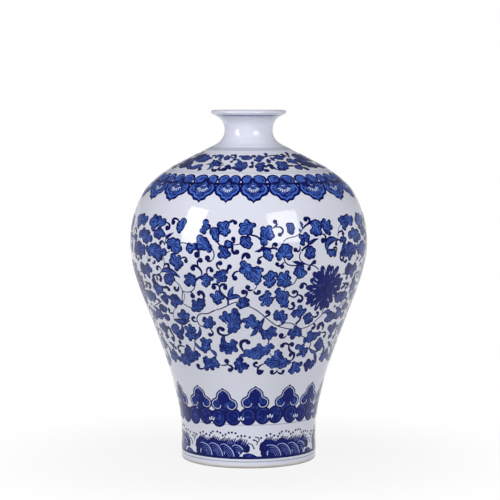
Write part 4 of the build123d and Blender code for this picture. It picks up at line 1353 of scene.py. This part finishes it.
# White sprigs, three short strokes each, on every other meeting of two coins
sprig_turns = np.concatenate([[-6, 17.4, 41.6, -31.2], 66 + 23.8 * np.arange(10)])
sprig_levels = np.concatenate([[48.6, 51, 49, 47.4], np.full(10, 50)])
head_wash = []
head_lights = []
head_whites = []
coin_lines = [wheel_band(48.5, 55.5, border_radius, load=0.3)]
for turn, top in zip(head_turns, head_tops):
    place = np.array([np.radians(turn) * border_radius, top])
    edge = leaf_edge(place + both_sides(head_side))
    edge = edge - towards_middle(edge) * head_swell
    coin_lines.append(outline_patch(edge, width=0.9, inset=0, load=0.5, lift=0.13))
    coin_lines.append(wash_patch(leaf_edge(place + head_stem), load=0.4, fade=0, lift=0.09))
    head_wash.append(wash_patch(edge, load=1.02, fade=0.4, lift=0.1))
    ring = place + both_sides(head_side) * ring_shrink - ring_drop
    coin_lines.append(outline_patch(leaf_edge(ring), width=0.6, inset=0, load=0.4, lift=0.14))
    white = np.concatenate([head_line, head_line[-2::-1] * [-1, 1]]) + place
    head_whites.append(
        stroke_patch(white, width=0.7, start=1, end=1, belly=0, load=0.1, lift=0.16, under=0.07)
    )
    for side in (-1, 1):
        swirl = place + curl_points((7.9 * side, -14.4), reach=2.7, start=np.pi / 2, turns=1.1 * side)
        head_lights.append(
            stroke_patch(swirl, width=0.7, start=0.5, end=0.7, belly=0.3, load=0.9, lift=0.15, under=0.07)
        )
coin_wash = []
coin_edge = round_ways(np.linspace(0, 2 * np.pi, coin_tips, endpoint=False)) * coin_radii
for turn, level in zip(coin_turns, coin_levels):
    edge = leaf_edge(np.array([np.radians(turn) * border_radius, level]) + coin_edge)
    coin_wash.append(wash_patch(edge, load=1.12, fade=-0.35, lift=0.11))
    coin_lines.append(outline_patch(edge, width=1.8, inset=0, load=0.45, lift=0.14))
    coin_wash.append(outline_patch(edge, width=0.6, inset=2.6, load=0.7, lift=0.14))
for turn, level in zip(sprig_turns, sprig_levels):
    place = np.array([np.radians(turn) * border_radius, level])
    for lean in (-1, 0, 1):
        tall = 2.4 - 1.2 * abs(lean)
        sprig = place + np.array([(1.2 * lean, -2.4), (2.2 * lean, -1.6 + tall / 2), (2.4 * lean, tall)])
        head_whites.append(
            stroke_patch(sprig, width=1.7, start=0.4, end=0.4, belly=0.6, load=0.0, lift=0.22, under=0.05)
        )
painted_piece("head_wash", head_wash, border_radius, border_level, cobalt_wash)
painted_piece("coin_wash", coin_wash, border_radius, border_level, cobalt_wash)
painted_piece("coin_lines", coin_lines, border_radius, border_level, cobalt_line)
painted_piece("border_lights", head_lights, border_radius, border_level, blue_light)
painted_piece("border_slips", head_whites, border_radius, border_level, slip_white)


# Wave border: six groups of breaking waves on a dark base line, with spray hooks and dots of foam
# over them, and the lines that the wheel drew above and below.
wave_repeats = 6
wave_tops = np.array(
    [(-48.6, 21), (-47, 24), (-44, 25.6), (-40, 26), (-36, 23.8), (-33, 24.8), (-29, 26.6), (-25, 24.6),
     (-20, 24.6), (-14, 25.4), (-9.5, 23.6), (-5.5, 25.4), (-2, 23.4), (0.4, 20.4), (1.4, 19.4)]
)
wave_feet = np.array([(-48.6, 17.4), (-47, 8.6), (-8, 8.6), (-5, 13), (-3, 14.4), (1.4, 18.6)])
swell_tops = (-5, 11, -3, 12.2, 0, 12.7, 3, 12, 6, 10, 8, 8.8)
swell_feet = (-5, 8.6, 8, 8.6)
foam_dots = (
    (-45, 30.4), (-41.5, 31.8), (-38, 30), (-34.6, 29), (-33.2, 31.6), (-31.2, 33.4), (-27, 33.6),
    (-24.2, 32.6), (-22, 30), (-19.5, 31.2), (-16.6, 33.2), (-13.9, 33.6), (-10.9, 33), (-9, 29.8),
    (-6.1, 30.4), (-3.1, 30.2), (0.9, 28.9), (10.5, 28),
)
# Fans of ripples: the middle they spread from, then the crest; ripples lie at shares of the way out
wave_fans = (
    (-41, 8, -45.4, 20, -43, 20.5, -40, 20.2, -36.5, 18.6, -34, 15.5, -32.6, 12, -32, 9),
    (-30.5, 8, -35.5, 19.4, -33.4, 21, -29.6, 21, -26, 18.8, -23.8, 15, -22.4, 11.4, -22, 9),
    (-20.5, 8, -25, 19.8, -22.4, 21.2, -18.6, 20.2, -15.2, 17, -13, 13, -12, 9),
    (-9.5, 8, -14.2, 18.6, -12.4, 20.6, -8.8, 20.4, -5.8, 18, -4.4, 15.6),
)
ripple_shares = (0.82, 0.64, 0.46)
spray_lights = (
    (-18.4, 21.6, -17.2, 24, -15.6, 26.4), (-16.6, 21.4, -15.4, 23.6, -14, 25.6),
    (-14.8, 21.4, -13.4, 23.8), (-12.6, 21.6, -11.4, 23.4), (-6.4, 21.4, -5, 23.6, -3.4, 25.6),
    (-4.6, 21, -3.2, 23, -1.8, 24.4), (-3, 20, -1.6, 21.6, -0.6, 22.2),
)
# Lights in the troughs: width, its shares at the start and end, then the points they pass
trough_lights = (
    (1.5, 0.6, 0.5, -43.4, 15, -44.3, 12, -44, 9.4),
    (1.3, 0.5, 0.4, -8.9, 14.2, -7.7, 12.4, -6.8, 10.4),
    (1.0, 0.4, 0.4, -21, 14, -20.4, 12, -20.6, 10),
)
# Hooks of spray: width, radius of the ball that ends them, then the points they pass
spray_hooks = (
    (1.9, 1.8, -45.6, 24, -48, 22.8, -49.3, 19.6, -48.9, 16.8),
    (2.2, 2.7, -45.2, 16, -46.2, 14.6, -46.6, 12.2),
    (2.2, 2.3, 0.2, 20, -0.4, 18, -1.8, 16.4),
    (0.6, 0.5, -0.6, 22.4, 2, 22, 3.6, 20, 4.6, 17.2),
    (0.6, 0.7, 6.2, 20.2, 7.4, 22.6, 6.6, 25.2, 4.6, 26),
    (0.6, 0.5, 7.2, 23.2, 8.8, 25.4, 8, 28.4, 6, 29),
)
# Spikes of spray along the tops: how many, the turn of the first, and the step to the next
spike_count = 30
spike_start = -47
spike_pitch = 1.6
wave_line = cobalt_finish(
    "wave_line", thin=(0.5, 0.57, 0.85), thick=(0.2, 0.27, 0.6), streak_scale=150, streak_depth=0.7
)


def skirt_patch(low, high, load, lift=0.07):
    """A wash between two lines that run from left to right: rows between them at even steps."""
    places = np.arange(low[0, 0], low[-1, 0] + 0.5, 1.0)
    share = np.array([0, 0.06, 0.25, 0.5, 0.75, 0.94, 1])[:, None]
    down = np.interp(places, low[:, 0], low[:, 1])
    up = np.interp(places, high[:, 0], high[:, 1])
    rows = len(share)
    flat = np.stack([np.tile(places, (rows, 1)), down + (up - down) * share], axis=-1).reshape(-1, 2)
    lifts = np.full((rows, len(places)), lift)
    lifts[[0, -1]] = sunk_edge
    lifts[:, [0, -1]] = sunk_edge
    return flat, lifts.ravel(), np.full(len(flat), load), grid_triangles(rows, len(places))


wave_wash = [
    skirt_patch(chart_points(wave_feet, border_radius), chart_points(wave_tops, border_radius), load=1.2),
    skirt_patch(chart_points(swell_feet, border_radius), chart_points(swell_tops, border_radius), load=0.95),
]
wave_dark = []
wave_light = []
for centre_turn, centre_level, *numbers in wave_fans:
    crest = chart_points(numbers, border_radius)
    centre = chart_points((centre_turn, centre_level), border_radius)[0]
    wave_light.append(stroke_patch(crest, width=1.05, start=0.4, end=0.9, belly=0.3, load=0.0, **on_wash))
    for share in ripple_shares:
        ripple = centre + (crest[1:] - centre) * share
        wave_light.append(
            stroke_patch(ripple, width=0.44, start=0.6, end=0.6, belly=0.3, load=0.85, **on_wash)
        )
for i in range(spike_count):
    foot_turn = spike_start + spike_pitch * i
    foot = np.interp(foot_turn, wave_tops[:, 0], wave_tops[:, 1])
    tall = 3.4 + 1.1 * np.sin(2.1 * i) + 0.9 * np.sin(0.85 * i)
    spike = (foot_turn - 1.4, foot - 3.6, foot_turn - 0.1, foot, foot_turn + 1.5, foot + tall)
    wave_dark.append(
        stroke_patch(chart_points(spike, border_radius), width=2.7, start=1, end=0.25, load=0.3)
    )
for numbers in spray_lights:
    points = chart_points(numbers, border_radius)
    wave_light.append(stroke_patch(points, width=0.55, start=0.5, end=0.5, belly=0.3, load=0.5, **on_wash))
for width, start, end, *numbers in trough_lights:
    points = chart_points(numbers, border_radius)
    wave_light.append(
        stroke_patch(points, width=width, start=start, end=end, belly=0.4, load=0.1, lift=0.13, under=0.05)
    )
for numbers in spray_hooks:
    wave_dark.extend(hook_patches(numbers, border_radius))
for place in chart_points(foam_dots, border_radius):
    wave_dark.append(dot_patch(place, radius=1.25))
painted_piece("wave_wash", wave_wash, border_radius, border_level, cobalt_wash, wave_repeats)
painted_piece("wave_lines", wave_dark, border_radius, border_level, cobalt_line, wave_repeats)
painted_piece("wave_ripples", wave_light, border_radius, border_level, wave_line, wave_repeats)
base_band = wheel_band(6.3, 9.3, border_radius, load=0.5)
painted_piece("base_line", [base_band], border_radius, border_level, cobalt_line)
foot_bands = [
    wheel_band(41.1, 41.9, border_radius, load=0.75),
    wheel_band(3.2, 4.2, border_radius, load=0.7),
]
painted_piece("foot_rings", foot_bands, border_radius, border_level, grey_wash)


# Stage: a round sweep of white paper, a floor that the foot ring stands on and that curves up into
# a low wall far away. It is seen as white in a lane that widens behind the vase, and as light grey
# to the sides and in front, and it keeps the vase's soft shadow. Its sizes are in metres.
sweep_side = np.array([(0.02, 0), (0.5, 0), (2, 0), (5, 0), (5.5, 0.06), (5.85, 0.3), (6, 0.7), (6, 1.6)])
sweep_columns = 96
sweep_turn = np.arange(sweep_columns) * 2 * np.pi / sweep_columns
sweep_places = np.stack(
    [
        sweep_side[:, :1] * np.sin(sweep_turn),
        sweep_side[:, :1] * np.cos(sweep_turn),
        sweep_side[:, 1:] * np.ones(sweep_columns),
    ],
    axis=-1,
).reshape(-1, 3)
sweep_cells = grid_triangles(len(sweep_side), sweep_columns, loop_columns=True)
sweep_hub = np.arange(1, sweep_columns - 1)[:, None] * [0, 1, 1] + [0, 0, 1]
floor_mesh = bpy.data.meshes.new("floor")
sweep_triangles = np.concatenate([sweep_cells, sweep_hub[:, ::-1]])
floor_mesh.from_pydata(sweep_places.tolist(), [], sweep_triangles.tolist())
floor = bpy.data.objects.new("floor", floor_mesh)
bpy.context.scene.collection.objects.link(floor)
floor_finish = bpy.data.materials.new("floor_paper")
floor_finish.use_nodes = True
floor_nodes = floor_finish.node_tree.nodes
floor_links = floor_finish.node_tree.links
floor_shader = floor_nodes["Principled BSDF"]
floor_shader.inputs["Base Color"].default_value = (0.4, 0.4, 0.4, 1)
floor_shader.inputs["Roughness"].default_value = 0.9


def joined_values(operation, *values):
    """Values in the floor's material joined one after the other, by their product or the largest."""
    result = values[0]
    for value in values[1:]:
        joint = floor_nodes.new("ShaderNodeMath")
        joint.operation = operation
        floor_links.new(result, joint.inputs[0])
        floor_links.new(value, joint.inputs[1])
        result = joint.outputs["Value"]
    return result


def smooth_fade(value, start, end, from_share, to_share):
    """A share that goes over smoothly from one to the other as a value goes from start to end."""
    fade = floor_nodes.new("ShaderNodeMapRange")
    fade.interpolation_type = "SMOOTHSTEP"
    fade.inputs["From Min"].default_value = start
    fade.inputs["From Max"].default_value = end
    fade.inputs["To Min"].default_value = from_share
    fade.inputs["To Max"].default_value = to_share
    floor_links.new(value, fade.inputs["Value"])
    return fade.outputs["Result"]


floor_place = floor_nodes.new("ShaderNodeTexCoord")
floor_reach = floor_nodes.new("ShaderNodeVectorMath")
floor_reach.operation = "LENGTH"
floor_links.new(floor_place.outputs["Object"], floor_reach.inputs[0])
floor_parts = floor_nodes.new("ShaderNodeSeparateXYZ")
floor_links.new(floor_place.outputs["Object"], floor_parts.inputs["Vector"])
floor_aside = floor_nodes.new("ShaderNodeMath")
floor_aside.operation = "ABSOLUTE"
floor_links.new(floor_parts.outputs["X"], floor_aside.inputs[0])
# The lane widens by a tenth of the way back
lane_side = floor_nodes.new("ShaderNodeMath")
lane_side.operation = "MULTIPLY_ADD"
lane_side.inputs[1].default_value = -0.1
floor_links.new(floor_parts.outputs["Y"], lane_side.inputs[0])
floor_links.new(floor_aside.outputs["Value"], lane_side.inputs[2])
floor_path = floor_nodes.new("ShaderNodeLightPath")
floor_seen = joined_values(
    "MAXIMUM",
    floor_path.outputs["Is Camera Ray"],
    floor_path.outputs["Is Glossy Ray"],
    floor_path.outputs["Is Transmission Ray"],
)
floor_share = joined_values(
    "MULTIPLY",
    floor_seen,
    smooth_fade(floor_reach.outputs["Value"], 0.07, 0.3, from_share=0.88, to_share=1.0),
    smooth_fade(lane_side.outputs["Value"], 0.45, 1.05, from_share=1.0, to_share=0.6),
    smooth_fade(floor_parts.outputs["Y"], -0.45, -0.19, from_share=0.5, to_share=1.0),
    smooth_fade(floor_parts.outputs["Z"], 0.75, 1.2, from_share=1.0, to_share=0.45),
)
floor_white = floor_nodes.new("ShaderNodeEmission")
floor_mix = floor_nodes.new("ShaderNodeMixShader")
floor_links.new(floor_share, floor_mix.inputs["Fac"])
floor_links.new(floor_shader.outputs["BSDF"], floor_mix.inputs[1])
floor_links.new(floor_white.outputs["Emission"], floor_mix.inputs[2])
floor_links.new(floor_mix.outputs["Shader"], floor_nodes["Material Output"].inputs["Surface"])
floor_mesh.materials.append(floor_finish)

world = bpy.data.worlds.new("dim_room")
world.use_nodes = True
bpy.context.scene.world = world
room_light = world.node_tree.nodes["Background"]
room_light.inputs["Color"].default_value = (1, 0.99, 1, 1)
room_light.inputs["Strength"].default_value = 0.2


# Lights and camera: two upright soft boxes in front, whose reflections stand on the shoulder, a
# wide fill behind that lights the back and isn't mirrored, and a long lens above the belly.
def soft_box(name, place, aim, width, tall, watts):
    """An upright rectangular lamp at a place, turned to face the aim."""
    lamp = bpy.data.lights.new(name, "AREA")
    lamp.shape = "RECTANGLE"
    lamp.size = width
    lamp.size_y = tall
    lamp.energy = watts
    box = bpy.data.objects.new(name, lamp)
    bpy.context.scene.collection.objects.link(box)
    box.location = place
    box.rotation_euler = (Vector(aim) - Vector(place)).to_track_quat("-Z", "Y").to_euler()
    return box


soft_box("left_box", (-1.25, -0.86, 0.73), aim=(-0.05, -0.1, 0.22), width=0.56, tall=0.97, watts=13.3)
soft_box("right_box", (0.86, -1.24, 0.73), aim=(0.03, -0.1, 0.22), width=0.82, tall=0.87, watts=13.9)
back_fill = soft_box("back_fill", (0, 1.8, 0.7), aim=(0, 0.05, 0.18), width=1.8, tall=1.2, watts=14)
back_fill.visible_glossy = False
back_fill.visible_camera = False

lens = bpy.data.cameras.new("camera")
lens.lens = 140.9
lens.sensor_width = 36
camera = bpy.data.objects.new("camera", lens)
bpy.context.scene.collection.objects.link(camera)
camera.location = (0.00129, -1.792, 0.334)
camera_aim = Vector((0.00129, 0, 0.1916))
camera.rotation_euler = (camera_aim - camera.location).to_track_quat("-Z", "Y").to_euler()
bpy.context.scene.camera = camera
bpy.context.scene.view_settings.view_transform = "Standard"
